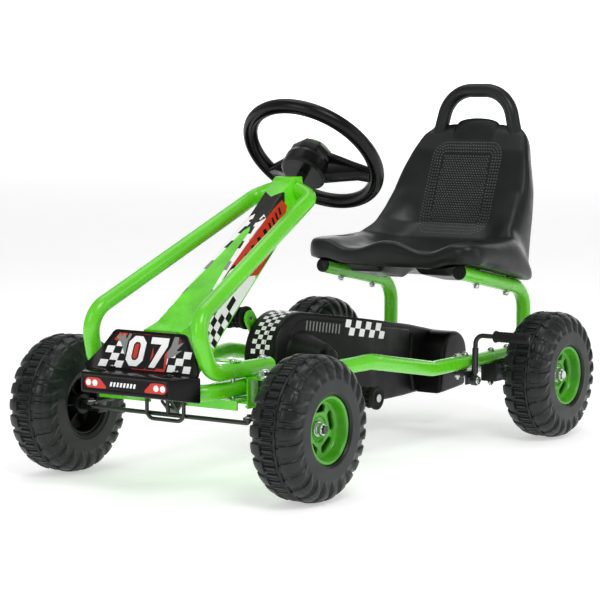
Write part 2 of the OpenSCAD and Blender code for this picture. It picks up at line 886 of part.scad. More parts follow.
module knuckle_left() {
    color(black) on_chassis() difference() {
        knuckle();
        translate([kingpin_x, front_y - arm_r, arm_z - 1]) cylinder(r = rod_r + 0.8, h = 6);
    }
}

module knuckle_right() {
    color(black) on_chassis() mirror([1, 0, 0]) difference() {
        knuckle();
        translate([kingpin_x, front_y - arm_r, arm_z - 1]) cylinder(r = rod_r + run_gap, h = 6);
    }
}

module tie_rod() {
    y = front_y - arm_r;
    color(black) on_chassis() {
        along_x(-kingpin_x, y, rod_z) cylinder(r = rod_r, h = 2 * kingpin_x);
        both_sides() translate([kingpin_x, y, rod_z]) {
            cylinder(r = rod_r, h = 13);
            sphere(r = rod_r + run_gap);
        }
        translate([0, y, rod_z]) rotate([5, 0, 0]) cylinder(r = 3, h = 27);
    }
}

module tie_rod_clips() {
    color(steel) on_chassis() both_sides() translate([kingpin_x, front_y - arm_r, arm_z + 4.2])
        linear_extrude(1.5) ring(7, rod_r + run_gap);
}

// ---- Brake ----

brake_pivot = [0, 237, 105];
brake_x = 159.8;
grip_from = 197;
grip_to = 263;

module brake_bracket() {
    color(black) on_chassis() difference() {
        union() {
            translate([138, 221, 112.9]) cube([14, 32, 3]);
            translate([149, 223, 98]) cube([3, 28, 17]);
        }
        along_x(140, brake_pivot[1], brake_pivot[2]) cylinder(r = 4 + part_gap, h = 20);
        bolt_holes(rail_x, rail_bolt_y, bolt_hole_r + 4);
    }
}

module brake_lever() {
    y = brake_pivot[1];
    color(black) on_chassis() difference() {
        union() {
            along_x(brake_x - 5, y, brake_pivot[2]) cylinder(r = 9, h = 10);
            bent_tube([[brake_x, y, brake_pivot[2] + 5], [brake_x, y + 3, 181], [grip_to - 1, y + 3, 181]], [14], 4, 0);
        }
        along_x(brake_x - 8, y, brake_pivot[2]) cylinder(r = 4 + run_gap, h = 16);
    }
}

module brake_grip() {
    color(black) on_chassis() along_x(grip_from, brake_pivot[1] + 3, 181) difference() {
        cylinder(r = 9, h = grip_to - grip_from);
        translate([0, 0, -1]) cylinder(r = 4 + run_gap, h = grip_to - grip_from);
    }
}

// ---- Seat ----

// Side view of the seat's middle in Y and Z, and of its raised sides
seat_middle = [
    [222, 302], [213, 306], [210, 317], [214, 330], [226, 333], [256, 325], [330, 320], [400, 330], [436, 354],
    [461, 419], [487, 482], [512, 520], [536, 520], [536, 500], [505, 400], [480, 320], [464, 268], [452, 258]];
seat_sides = [
    [222, 302], [213, 306], [210, 318], [215, 332], [300, 336], [366, 338], [399, 360], [424, 386], [450, 416],
    [487, 484], [510, 516], [532, 514], [529, 496], [500, 400], [474, 320], [461, 268], [452, 258]];

seat_face = [
    [-seat_w / 2 + 20, 240], [seat_w / 2 - 20, 240], [seat_w / 2, 290], [seat_w / 2, 338], [146, 384], [133, 416],
    [113, 484], [88, 530], [-88, 530], [-113, 484], [-133, 416], [-146, 384], [-seat_w / 2, 338], [-seat_w / 2, 290]];

// An outline drawn in by t, whose points run anticlockwise for t > 0 and clockwise for t < 0
function inset(points, t) = [
    for (i = [0:len(points) - 1])
        let (n = len(points), a = unit(points[i] - points[(i + n - 1) % n]), b = unit(points[(i + 1) % n] - points[i]))
            points[i] + t * ([-a[1], a[0]] + [-b[1], b[0]]) / (1 + a * b)];

// The seat as a solid, drawn in by t
module seat_form(t) {
    intersection() {
        union() {
            side_plate(-132 + t, 132 - t) polygon(inset(seat_middle, -t));
            side_plate(-seat_w / 2, -131 - t) polygon(inset(seat_sides, -t));
            side_plate(131 + t, seat_w / 2) polygon(inset(seat_sides, -t));
        }
        translate([0, 600, 0]) rotate([90, 0, 0]) linear_extrude(500) polygon(inset(seat_face, t));
    }
}

module seat_shell() {
    handle = [[74, 522, 505], [64, 523, 591], [-64, 523, 591], [-74, 522, 505]];
    color(black) on_chassis() difference() {
        union() {
            difference() {
                seat_form(0);
                difference() {
                    seat_form(seat_wall);
                    on_seat_run() translate([-250, -60, seat_run_z + 17 - 100]) cube([500, 360, 100]);
                }
            }
            bent_tube(handle, [42, 42], 13, 0);
            side_plate(-40, 40) polygon([[515, 510], [535, 510], [537, 530], [520, 534]]);
        }
        on_seat_run() {
            translate([-250, -60, seat_run_z - 100]) cube([500, 360, 100]);
            for (side = [-1, 1], s = seat_bolt_s) {
                translate([side * rail_x - 4, s - 37, seat_run_z - 1]) cube([8, 64, 13]);
                translate([side * rail_x - 7, s - 40, seat_run_z + 1.8]) cube([14, 70, 10]);
            }
        }
    }
}

// ---- Fasteners ----

// A round-headed bolt along Z whose head's underside is at the origin
module bolt(r, length) {
    translate([0, 0, -length]) cylinder(r = r, h = length);
    cylinder(r = r * 1.8, h = r * 0.6);
    translate([0, 0, r * 0.6]) cylinder(r1 = r * 1.5, r2 = r * 0.8, h = r * 0.5);
}

// A hexagon nut on Z whose underside is at the origin
module nut(r, height) {
    linear_extrude(height) difference() {
        circle(r = r * 1.9, $fn = 6);
        circle(r = r + run_gap);
    }
}

hoop_bolt_top = [200.3, 198.2];
hoop_nut_z = [135.8, 141.9];
rail_bolt_top = rail_z + tube_r + 0.2;
bearing_bolt_top = rail_z + swage_r + 0.2;

module frame_bolts() {
    color(steel) on_chassis() {
        both_sides() {
            for (i = [0, 1])
                translate([hoop_x(hoop_bolt_y[i]), hoop_bolt_y[i], hoop_bolt_top[i]])
                    bolt(bolt_r, hoop_bolt_top[i] - hoop_nut_z[i] + 3);
            for (y = rail_bolt_y) translate([rail_x, y, rail_bolt_top]) bolt(bolt_r, 40);
            for (y = bearing_bolt_y) translate([rail_x, y, bearing_bolt_top]) bolt(bolt_r, 62);
        }
        translate([144, brake_pivot[1], brake_pivot[2]]) rotate([0, 90, 0]) {
            cylinder(r = 4, h = 25);
            translate([0, 0, 21.4]) cylinder(r = 7, h = 3);
            translate([0, 0, 1]) cylinder(r = 6.5, h = 3.8);
        }
    }
}

module frame_nuts() {
    color(steel) on_chassis() both_sides() {
        for (i = [0, 1]) translate([hoop_x(hoop_bolt_y[i]), hoop_bolt_y[i], hoop_nut_z[i]]) nut(bolt_r, 5);
        for (y = rail_bolt_y) translate([rail_x, y, 110.8]) nut(bolt_r, 5);
        for (y = bearing_bolt_y) translate([rail_x, y, 86.8]) nut(bolt_r, 5);
    }
}

module kingpins() {
    color(steel) on_chassis() both_sides() translate([kingpin_x, front_y, 0]) {
        translate([0, 0, 126]) cylinder(r = kingpin_r, h = 62);
        translate([0, 0, 124]) cylinder(r = 8, h = 5.9);
        translate([0, 0, ear_high[1] + part_gap]) linear_extrude(1.6) ring(11, kingpin_r + run_gap);
        translate([0, 0, ear_high[1] + 1.8]) nut(kingpin_r, 8);
    }
}

module panel_screws() {
    color(steel) on_chassis() {
        both_sides() translate([panel_screw_x, panel_screw_y, 187.1]) {
            translate([0, 0, -24]) cylinder(r = screw_r, h = 24);
            cylinder(r1 = 4.5, r2 = 3, h = 2);
        }
    }
}

module seat_bolts() {
    color(steel) on_chassis() both_sides() on_seat_run() for (s = seat_bolt_s) translate([rail_x, s, 0]) {
        translate([0, 0, -20]) cylinder(r = bolt_r, h = 40);
        translate([0, 0, seat_run_z + 2]) cylinder(r = 6, h = 3);
        translate([0, 0, -tube_r - 5.2]) nut(bolt_r, 5);
    }
}

main_frame_tube();
front_axle_beam();
hoop_tube_left();
hoop_tube_right();
column_bracket();
nylon_bushes();
centre_spine();
rear_crossbar();
seat_tube_left();
seat_tube_right();
tube_end_caps();
axle_bearing_left();
axle_bearing_right();
tie_rod_guard();
front_bumper_panel();
steering_shroud();
chain_guard_left();
chain_guard_right();
drive_chain();
brake_bracket();
frame_bolts();
frame_nuts();
kingpins();
panel_screws();
seat_bolts();
steering_column();
steering_wheel();
steering_hub_cap();
steering_nut();
knuckle_left();
knuckle_right();
axle_nut_front_left();
axle_nut_front_right();
tie_rod();
tie_rod_clips();
tyre_front_left();
wheel_core_front_left();
hub_cover_front_left();
tyre_front_right();
wheel_core_front_right();
hub_cover_front_right();
tyre_rear_left();
wheel_core_rear_left();
hub_cover_rear_left();
tyre_rear_right();
wheel_core_rear_right();
hub_cover_rear_right();
rear_axle();
rear_axle_fittings();
rear_sprocket();
crank_axle();
crank_arm_left();
crank_arm_right();
chainring();
pedal_spindles();
pedal_left();
pedal_right();
brake_lever();
brake_grip();
seat_shell();
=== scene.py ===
"""Looks of the pedal go kart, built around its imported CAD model.

Lengths in the shape code are millimetres in the chassis frame: the driver faces -Y, +X is the
driver's left, +Z is up, and the origin is on the ground half way between the two axles.
place() turns them into the model's metres.
"""
import json
import math

import bmesh
import bpy
import numpy as np
from mathutils import Matrix, Vector


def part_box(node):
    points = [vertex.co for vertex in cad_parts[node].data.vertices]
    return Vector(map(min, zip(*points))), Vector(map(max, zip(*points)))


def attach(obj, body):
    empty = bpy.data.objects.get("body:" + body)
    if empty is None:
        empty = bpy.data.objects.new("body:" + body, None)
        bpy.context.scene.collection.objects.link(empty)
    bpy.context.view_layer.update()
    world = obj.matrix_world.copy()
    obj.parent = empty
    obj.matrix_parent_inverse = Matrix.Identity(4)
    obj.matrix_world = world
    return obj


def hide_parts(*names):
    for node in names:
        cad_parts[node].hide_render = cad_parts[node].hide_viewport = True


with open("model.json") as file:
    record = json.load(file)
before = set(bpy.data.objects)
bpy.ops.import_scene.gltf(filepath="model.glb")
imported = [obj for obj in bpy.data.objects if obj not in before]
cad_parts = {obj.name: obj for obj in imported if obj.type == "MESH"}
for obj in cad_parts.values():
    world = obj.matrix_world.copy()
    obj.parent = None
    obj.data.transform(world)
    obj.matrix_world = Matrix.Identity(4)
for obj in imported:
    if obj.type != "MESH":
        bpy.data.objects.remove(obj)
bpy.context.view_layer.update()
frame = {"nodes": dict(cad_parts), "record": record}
nodes = frame["nodes"]

MM = 0.001
UP = Vector((0, 0, 1))
BACK = Vector((0, 1, 0))
RIGHT = Vector((1, 0, 0))
SIDES = ((1, "left"), (-1, "right"))
BORE_DEPTH = 14


def node_centre(name):
    low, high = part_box(name)
    return (low + high) / 2


FRONT = node_centre("tyre_front_left")
REAR = node_centre("tyre_rear_left")
MID_Y = (FRONT.y + REAR.y) / 2
AXLE_Z = FRONT.z / MM
FRONT_Y = (FRONT.y - MID_Y) / MM
REAR_Y = (REAR.y - MID_Y) / MM
TYRE_R = AXLE_Z


def place(x, y, z):
    """A point of the chassis frame, in the model's metres."""
    return Vector((x * MM, y * MM + MID_Y, z * MM))


def mirrored(points):
    return [(-x, y, z) for x, y, z in points]


def smoothstep(low, high, value):
    t = min(max((value - low) / (high - low), 0), 1)
    return t * t * (3 - 2 * t)


def mix(a, b, t):
    return a + (b - a) * t


def arc(centre, radius, start, end, steps):
    """Points of an arc from start to end degrees."""
    angles = [math.radians(mix(start, end, i / steps)) for i in range(steps + 1)]
    return [(centre[0] + radius * math.cos(a), centre[1] + radius * math.sin(a)) for a in angles]


def circle(centre, radius, count):
    """A regular polygon's corners, for a hexagon or, with many of them, a circle."""
    angles = [2 * math.pi * k / count for k in range(count)]
    return [(centre[0] + radius * math.cos(a), centre[1] + radius * math.sin(a)) for a in angles]


def checks(rows, columns, odd):
    """(row, column) of every other field of a chequered area, the corner's own if odd is 0."""
    return [(row, column) for row in range(rows) for column in range(columns) if (row + column) % 2 == odd]


def quads(rows, columns, first=0, close_rows=False, close_columns=False):
    """Faces between the points of a grid that are stored row by row, from index first on."""
    faces = []
    for r in range(rows if close_rows else rows - 1):
        below = (r + 1) % rows
        for c in range(columns if close_columns else columns - 1):
            right = (c + 1) % columns
            corners = (r, c), (r, right), (below, right), (below, c)
            faces.append(tuple(first + row * columns + column for row, column in corners))
    return faces


def upright(x, y, z):
    """A matrix at a chassis point, with Z upwards."""
    return Matrix.Translation(place(x, y, z))


def lifted(matrix, height):
    """The matrix moved along its own Z by millimetres."""
    return matrix @ Matrix.Translation((0, 0, height * MM))


def spun(matrix, degrees, axis="Z"):
    """The matrix turned about one of its own axes."""
    return matrix @ Matrix.Rotation(math.radians(degrees), 4, axis)


def lying(x, y, z):
    """A matrix at a chassis point, with Z along the chassis +X."""
    return spun(upright(x, y, z), 90, "Y")


# ---- Materials ----

def material(name, inputs=()):
    """A new material, its node tree and its shader, with some of the shader's inputs set."""
    m = bpy.data.materials.new(name)
    m.use_nodes = True
    shader = m.node_tree.nodes["Principled BSDF"]
    for key, value in dict(inputs).items():
        shader.inputs[key].default_value = value
    return m, m.node_tree, shader


def noise(tree, scale, detail=3, stretch=(1, 1, 1)):
    """Noise on object coordinates, `scale` features a metre."""
    coords = tree.nodes.new("ShaderNodeTexCoord")
    mapping = tree.nodes.new("ShaderNodeMapping")
    mapping.inputs["Scale"].default_value = stretch
    texture = tree.nodes.new("ShaderNodeTexNoise")
    texture.inputs["Scale"].default_value = scale
    texture.inputs["Detail"].default_value = detail
    tree.links.new(coords.outputs["Object"], mapping.inputs["Vector"])
    tree.links.new(mapping.outputs["Vector"], texture.inputs["Vector"])
    return texture.outputs["Fac"]


def ramp(tree, value, low, high):
    """A colour that goes from low to high over the middle of the value's range."""
    r = tree.nodes.new("ShaderNodeValToRGB")
    for element, position, colour in ((0, 0.35, low), (1, 0.65, high)):
        r.color_ramp.elements[element].position = position
        r.color_ramp.elements[element].color = (*colour, 1)
    tree.links.new(value, r.inputs["Fac"])
    return r.outputs["Color"]


def bump(tree, shader, height, strength, distance):
    b = tree.nodes.new("ShaderNodeBump")
    b.inputs["Strength"].default_value = strength
    b.inputs["Distance"].default_value = distance
    tree.links.new(height, b.inputs["Height"])
    tree.links.new(b.outputs["Normal"], shader.inputs["Normal"])


def grey(value):
    return (value, value, value)


def shade(colour, factor):
    return tuple(min(c * factor, 1) for c in colour)


def finish(name, colour, tone, rough, grain, inputs):
    """A material whose tone and gloss wander a little over a fine grain. tone and rough are (noise
    scale, detail, low, high): factors on the colour, and the roughness itself. grain is (noise
    scale, detail, strength, depth in metres), which may end with a stretch of the noise."""
    m, tree, shader = material(name, inputs)
    scale, detail, low, high = tone
    cloud = ramp(tree, noise(tree, scale, detail), shade(colour, low), shade(colour, high))
    tree.links.new(cloud, shader.inputs["Base Color"])
    scale, detail, low, high = rough
    cloud = ramp(tree, noise(tree, scale, detail), grey(low), grey(high))
    tree.links.new(cloud, shader.inputs["Roughness"])
    scale, detail, strength, depth, *stretch = grain
    bump(tree, shader, noise(tree, scale, detail, *stretch), strength, depth)
    return m


def paint(name, colour, rough, coat):
    """Powder coat: a soft orange-peel skin under a clear gloss, with slight change of tone."""
    return finish(name, colour, (9, 3, 0.93, 1.05), (60, 3, rough * 0.85, rough * 1.2),
                  (420, 2, 0.12, 0.0002), {"Coat Weight": coat, "Coat Roughness": 0.07})


def plastic(name, colour, rough, grain=900, depth=0.25, coat=0.0, shine=0.5):
    """Moulded plastic with a fine grain, cloudy gloss and faint flow marks."""
    return finish(name, colour, (22, 5, 0.82, 1.22), (35, 6, rough * 0.82, rough * 1.18),
                  (grain, 4, depth, 0.0003),
                  {"Coat Weight": coat, "Coat Roughness": 0.15, "Specular IOR Level": shine})


def metal(name, colour, rough):
    """Plated steel with a fine brushed grain and slightly cloudy gloss."""
    return finish(name, colour, (80, 4, 0.8, 1), (140, 4, rough * 0.7, rough * 1.3),
                  (900, 3, 0.1, 0.0001, (1, 1, 0.15)), {"Metallic": 1})


def ink(name, colour, shine=0.5, painted_glow=0.0):
    """Printed vinyl: nearly flat, with a faint print mottle and a satin face. A glow above 0 is painted
    light: the ink shines a little by itself, though it is no lamp.
    """
    return finish(name, colour, (300, 4, 0.94, 1), (120, 3, 0.28, 0.4), (700, 2, 0.06, 0.0001),
                  {"Specular IOR Level": shine, "Emission Color": (*colour, 1), "Emission Strength": painted_glow})


LIME = (0.145, 0.75, 0.012)
MATERIALS = {
    "paint": paint("lime_powder_coat", LIME, 0.26, 0.35),
    "green": plastic("lime_plastic", LIME, 0.26, 700, 0.06, 0.3),
    "hub": plastic("lime_hub_plastic", (0.07, 0.39, 0.012), 0.3, 700, 0.08, 0.35),
    "tyre": plastic("tyre_plastic", (0.0085, 0.0105, 0.011), 0.36, 500, 0.3, 0, 0.4),
    "seat": plastic("seat_plastic", (0.0055, 0.0075, 0.0065), 0.36, 1100, 0.3, 0, 0.38),
    # The beads are the seat's black plastic; their lighter grey is a painted highlight.
    "bead": plastic("seat_bead_painted_highlight", (0.075, 0.082, 0.078), 0.24, 1100, 0.2, 0, 0.7),
    "black": plastic("black_plastic", (0.0035, 0.004, 0.0035), 0.38, 900, 0.25, 0, 0.28),
    "bumper": plastic("bumper_plastic", (0.003, 0.003, 0.003), 0.24, 900, 0.08, 0, 0.22),
    "wheel": plastic("wheel_plastic", (0.0035, 0.0035, 0.004), 0.26, 900, 0.12, 0, 0.24),
    "rubber": plastic("grip_rubber", (0.006, 0.006, 0.006), 0.62, 600, 0.5, 0, 0.3),
    "nylon": plastic("natural_nylon", (0.66, 0.65, 0.6), 0.5, 800, 0.1),
    "black_paint": paint("black_powder_coat", (0.012, 0.012, 0.012), 0.32, 0.3),
    "zinc": metal("zinc_plate", (0.78, 0.79, 0.81), 0.26),
    "chain": metal("oiled_steel", (0.34, 0.33, 0.31), 0.38),
    # The white ink glows a little as painted light, so that it looks brighter than its lighting makes it.
    "white_ink_painted_glow": ink("white_ink_painted_glow", (0.94, 0.94, 0.94), 0.5, 0.14),
    "black_ink": ink("black_ink", (0.005, 0.005, 0.005), 0.3),
    "red_ink": ink("red_ink", (0.72, 0.035, 0.018)),
    "grey_ink": ink("grey_ink", (0.28, 0.285, 0.28)),
    "dark_red": ink("dark_red_ink", (0.16, 0.02, 0.018)),
}
SLOT_MATERIALS = {
    "tyre": "tyre", "hub_plastic": "hub", "black_plastic": "black", "frame_paint": "paint",
    "green_plastic": "green", "wheel_plastic": "wheel", "grip_rubber": "rubber", "nylon": "nylon",
    "black_paint": "black_paint", "zinc_steel": "zinc"}
node_slots = {p["node"]: p["material_slot"] for p in frame["record"]["subparts"]}
node_bodies = {n: body for body, names in frame["record"]["behaviour"]["bodies"].items() for n in names}


# ---- Meshes ----

def linked(name, data):
    """A new object of the data, in the scene."""
    obj = bpy.data.objects.new(name, data)
    bpy.context.scene.collection.objects.link(obj)
    return obj


def new_object(name, mesh, look):
    mesh.materials.clear()
    mesh.materials.append(MATERIALS[look])
    return linked(name, mesh)


def shade_by_angle(mesh, angle=32):
    mesh.polygons.foreach_set("use_smooth", [True] * len(mesh.polygons))
    mesh.set_sharp_from_angle(angle=math.radians(angle))


def mesh_of(points, faces, angle=32, weld=0):
    """A mesh from points in metres, with its normals outwards and smooth but for sharp edges.
    Points closer than weld become one."""
    mesh = bpy.data.meshes.new("piece")
    mesh.from_pydata([tuple(p) for p in points], [], faces)
    work = bmesh.new()
    work.from_mesh(mesh)
    if weld:
        bmesh.ops.remove_doubles(work, verts=work.verts, dist=weld)
        bmesh.ops.dissolve_degenerate(work, edges=work.edges, dist=weld / 2)
    bmesh.ops.recalc_face_normals(work, faces=work.faces)
    work.to_mesh(mesh)
    work.free()
    shade_by_angle(mesh, angle)
    return mesh


def bevelled(obj, width, segments=2, angle=35):
    """Rounds the object's sharp edges by `width` millimetres."""
    b = obj.modifiers.new("edges", "BEVEL")
    b.width = width * MM
    b.segments = segments
    b.limit_method = "ANGLE"
    b.angle_limit = math.radians(angle)
    b.use_clamp_overlap = True
    b.harden_normals = True
    return obj


def applied(obj, angle=32):
    """Replaces the object's mesh by the one its modifiers give."""
    bpy.context.view_layer.update()
    graph = bpy.context.evaluated_depsgraph_get()
    mesh = bpy.data.meshes.new_from_object(obj.evaluated_get(graph))
    obj.modifiers.clear()
    obj.data = mesh
    shade_by_angle(mesh, angle)
    return obj


def joined(name, objects):
    """One object of several objects' meshes, each keeping its material."""
    work = bmesh.new()
    materials = []
    for obj in objects:
        applied(obj)
        slots = list(obj.data.materials)
        for m in slots:
            if m not in materials:
                materials.append(m)
        first = len(work.faces)
        obj.data.transform(obj.matrix_world)
        work.from_mesh(obj.data)
        work.faces.ensure_lookup_table()
        for face in work.faces[first:]:
            face.material_index = materials.index(slots[min(face.material_index, len(slots) - 1)])
        bpy.data.objects.remove(obj)
    mesh = bpy.data.meshes.new(name)
    work.to_mesh(mesh)
    work.free()
    for m in materials:
        mesh.materials.append(m)
    shade_by_angle(mesh)
    return linked(name, mesh)


def settle(obj, *replaced, body=None, slot=None):
    """The piece stands for CAD nodes, which it hides. It rides on their body unless told. The slot argument
    is not used.
    """
    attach(obj, body or node_bodies[replaced[0]])
    if replaced:
        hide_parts(*replaced)
    return obj


def rounded_path(points, bends, step=4):
    """Points in metres, about `step` mm apart, along a polyline whose corners are arcs."""
    corners = [place(*p) for p in points]
    path = [corners[0]]

    def straight_to(end):
        start = path[-1]
        count = max(1, round((end - start).length / (step * MM)))
        path.extend(start.lerp(end, i / count) for i in range(1, count + 1))

    for before, corner, after, bend in zip(corners, corners[1:], corners[2:], bends):
        u, v = (corner - before).normalized(), (after - corner).normalized()
        turn = u.angle(v)
        if turn < 1e-4:
            continue
        radius = bend * MM
        first = corner - u * radius * math.tan(turn / 2)
        straight_to(first)
        n = (v - u * u.dot(v)).normalized()
        centre = first + n * radius
        count = max(3, round(radius * turn / (step * MM)))
        for i in range(1, count + 1):
            a = turn * i / count
            path.append(centre - n * radius * math.cos(a) + u * radius * math.sin(a))
    straight_to(corners[-1])
    return path


def sweep(name, path, radius, look, start_up=UP, sides=36, press=None, bore=0):
    """A round bar or tube along a path. press(place) gives (width, height) factors of the round
    section there, for pinched and flattened stretches. A bore above 0 opens the two ends."""
    last = len(path) - 1
    tangents = [(path[min(i + 1, last)] - path[max(i - 1, 0)]).normalized() for i in range(last + 1)]
    up = (start_up - tangents[0] * start_up.dot(tangents[0])).normalized()
    chamfer = min(0.5, radius * 0.15)
    points = []

    def ring(i, r, shift=0):
        """A ring round the path's point i, moved along the path by shift mm."""
        tangent = tangents[i]
        centre = path[i] + tangent * shift * MM
        side = tangent.cross(up)
        wide, tall = press(path[i]) if press else (1, 1)
        for k in range(sides):
            a = 2 * math.pi * k / sides
            points.append(centre + (side * math.cos(a) * wide + up * math.sin(a) * tall) * r * MM)

    if bore:
        ring(0, bore, BORE_DEPTH)
        ring(0, bore)
    ring(0, radius - chamfer)
    for i in range(last + 1):
        up = (up - tangents[i] * up.dot(tangents[i])).normalized()
        ring(i, radius, chamfer if i == 0 else -chamfer if i == last else 0)
    ring(last, radius - chamfer)
    if bore:
        ring(last, bore)
        ring(last, bore, -BORE_DEPTH)
    rings = len(points) // sides
    faces = quads(rings, sides, close_columns=True)
    faces += [tuple(range(sides))[::-1], tuple(range((rings - 1) * sides, rings * sides))]
    return new_object(name, mesh_of(points, faces), look)


def revolved(profile, matrix, segments):
    """The profile's points at every step of a turn about the matrix's Z."""
    angles = [2 * math.pi * k / segments for k in range(segments)]
    return [matrix @ Vector((r * math.cos(a) * MM, r * math.sin(a) * MM, z * MM)) for a in angles
            for r, z in profile]


def turned(name, profile, look, matrix, segments=72, angle=32):
    """A solid turned about its own Z from a closed profile of (radius, height) points."""
    faces = quads(segments, len(profile), close_rows=True, close_columns=True)
    return new_object(name, mesh_of(revolved(profile, matrix, segments), faces, angle), look)


def solid_turned(name, profile, look, matrix, segments):
    """As turned(), for a profile that starts and ends on the axis."""
    inner = profile[1:-1]
    n = len(inner)
    points = revolved(inner, matrix, segments)
    low, high = len(points), len(points) + 1
    points += [matrix @ Vector((0, 0, end[1] * MM)) for end in (profile[0], profile[-1])]
    faces = quads(segments, n, close_rows=True)
    for k in range(segments):
        j = (k + 1) % segments
        faces += [(low, k * n, j * n), (high, j * n + n - 1, k * n + n - 1)]
    return new_object(name, mesh_of(points, faces), look)


def stacked(name, levels, look, matrix):
    """A closed solid through equal outlines at given heights: levels are (height, outline)."""
    count, n = len(levels), len(levels[0][1])
    points = [matrix @ Vector((x * MM, y * MM, height * MM)) for height, outline in levels
              for x, y in outline]
    faces = quads(count, n, close_columns=True)
    faces += [tuple(range(n))[::-1], tuple(range((count - 1) * n, count * n))]
    return new_object(name, mesh_of(points, faces), look)


def extruded(name, outline, depth, look, matrix):
    """A plate from a 2D outline in the matrix's XY plane, from Z 0 to depth."""
    n = len(outline)
    points = [matrix @ Vector((x * MM, y * MM, z * MM)) for z in (0, depth) for x, y in outline]
    faces = [tuple(range(n))[::-1], tuple(range(n, 2 * n))] + quads(2, n, close_columns=True)
    return new_object(name, mesh_of(points, faces), look)


def block(name, low, high, look):
    """A box between two corners, in chassis millimetres."""
    outline = [(low[0], low[1]), (high[0], low[1]), (high[0], high[1]), (low[0], high[1])]
    return extruded(name, outline, high[2] - low[2], look, upright(0, 0, low[2]))


def axes_at(origin, x, y):
    """A matrix with its X and Y axes along x and y, at a chassis point."""
    x, y = Vector(x).normalized(), Vector(y).normalized()
    z = x.cross(y)
    m = Matrix((x, y, z)).transposed().to_4x4()
    m.translation = place(*origin)
    return m


def wheel_matrix(side, front):
    """A wheel's own frame: its Z points outwards along the axle."""
    name = "tyre_%s_%s" % ("front" if front else "rear", "left" if side > 0 else "right")
    return spun(Matrix.Translation(node_centre(name)), side * 90, "Y")


def refined(node, width):
    """The CAD node's own shape with its edges rounded, in place of the CAD node."""
    mesh = nodes[node].data.copy()
    work = bmesh.new()
    work.from_mesh(mesh)
    bmesh.ops.remove_doubles(work, verts=work.verts, dist=1e-6)
    bmesh.ops.dissolve_limit(work, angle_limit=math.radians(1), verts=work.verts, edges=work.edges,
                             use_dissolve_boundaries=False)
    work.to_mesh(mesh)
    work.free()
    obj = new_object("fine_" + node, mesh, SLOT_MATERIALS[node_slots[node]])
    settle(applied(bevelled(obj, width)), node)


# ---- Wheels ----

FRONT_AXLE_R = 6
REAR_AXLE_R = 7.5
LUGS = 25
RIBS_PER_LUG = 4
STEPS_PER_LUG = 22
HUB_WINDOWS = 5
HUB_WINDOW_R = 30.5
HUB_FACE = 15
CORE_RIBS = 6
RIB_THICK = 2.4


def tread_height(phase, s):
    """Height of the tread over its base. phase runs 0 to 1 over a lug, s is the distance across
    the tread from its middle: fine ribs beside a parting bead, and lugs that wrap both sides."""
    def band(low, high, edge):
        return np.clip((s - low) / edge, 0, 1) * np.clip((high - s) / edge, 0, 1)

    bead = 3.9 * np.sqrt(np.clip(1 - ((s - 11) / 1.9) ** 2, 0, 1))
    ribs = 2.6 * band(-12, 8.5, 1.2) * np.clip(0.5 + 1.3 * np.cos(2 * np.pi * RIBS_PER_LUG * phase), 0, 1)
    reach = np.abs(s)
    skew = 0.4 * np.clip((reach - 30) / 26, 0, 1) ** 2 * np.sign(s)
    width = np.interp(reach, [0, 18, 34, 46, 58], [0.5, 0.76, 0.74, 0.52, 0.3])
    width = np.where((s > 12) & (s < 17.5), 0.46, width)
    p = np.mod(phase + skew, 1) - 0.5
    wall = np.clip((width / 2 - np.abs(p)) / 0.05, 0, 1)
    crown = 1 - 0.16 * (2 * p / width) ** 2
    lug = 3.8 * np.clip((58 - reach) / 14, 0, 1) ** 0.7 * wall * crown
    split = 1 - 0.45 * np.clip(1 - np.abs(reach - 31) / 1.6, 0, 1)
    groove = 1 - 0.5 * np.clip(1 - np.abs(s - 18) / 1.4, 0, 1)
    outside = np.clip((s - 13.2) / 1, 0, 1) + np.clip((-12.6 - s) / 1, 0, 1)
    return np.maximum(np.maximum(bead, ribs), lug * split * groove * outside)


def tyre_mesh(side):
    """A tyre whose axle is its Z. The hub cover's recess is on its `side`."""
    half = [(52.8, 38.6), (53.6, 39.8), (55, 40.2), (74, 40.2), (75.6, 39.9), (77.2, 38.8), (84, 38),
            (90, 36.2), (96, 32.5), (100.5, 27), (102.8, 20), (103.8, 11), (104.2, 0)]
    outline = np.array([(r, -z) for r, z in half] + [(r, z) for r, z in half[-2::-1]])
    chord = np.concatenate([[0], np.cumsum(np.linalg.norm(np.diff(outline, axis=0), axis=1))])
    fine = np.arange(0, chord[-1], 1.3)
    fine = np.append(fine, chord[-1])
    rz = np.stack([np.interp(fine, chord, outline[:, i]) for i in (0, 1)], 1)
    for _ in range(3):
        rz[8:-8] = (rz[7:-9] + 2 * rz[8:-8] + rz[9:-7]) / 4
    along = np.gradient(rz, axis=0)
    along /= np.linalg.norm(along, axis=1)[:, None]
    normal = np.stack([along[:, 1], -along[:, 0]], 1)
    s = fine - chord[-1] / 2
    inner = np.array([(51.2, 37.4), (51, 36.8), (51, 30), (47, 30), (47, -36), (47.6, -37), (50, -38.4)])
    inner[:, 1] *= side
    if side < 0:
        inner = inner[::-1]
    count = LUGS * STEPS_PER_LUG
    profile = len(rz) + len(inner)
    points = np.zeros((count, profile, 3))
    for k in range(count):
        a = 2 * math.pi * k / count
        height = tread_height(np.full(len(s), (k % STEPS_PER_LUG) / STEPS_PER_LUG), s)
        ring = np.concatenate([rz + normal * height[:, None], inner])
        ring[:, 0] = np.minimum(ring[:, 0], TYRE_R)
        points[k] = np.stack([ring[:, 0] * math.cos(a), ring[:, 0] * math.sin(a), ring[:, 1]], 1) * MM
    faces = quads(count, profile, close_rows=True, close_columns=True)
    mesh = mesh_of(points.reshape(-1, 3), faces, 48)
    mesh.materials.append(MATERIALS["tyre"])
    return mesh


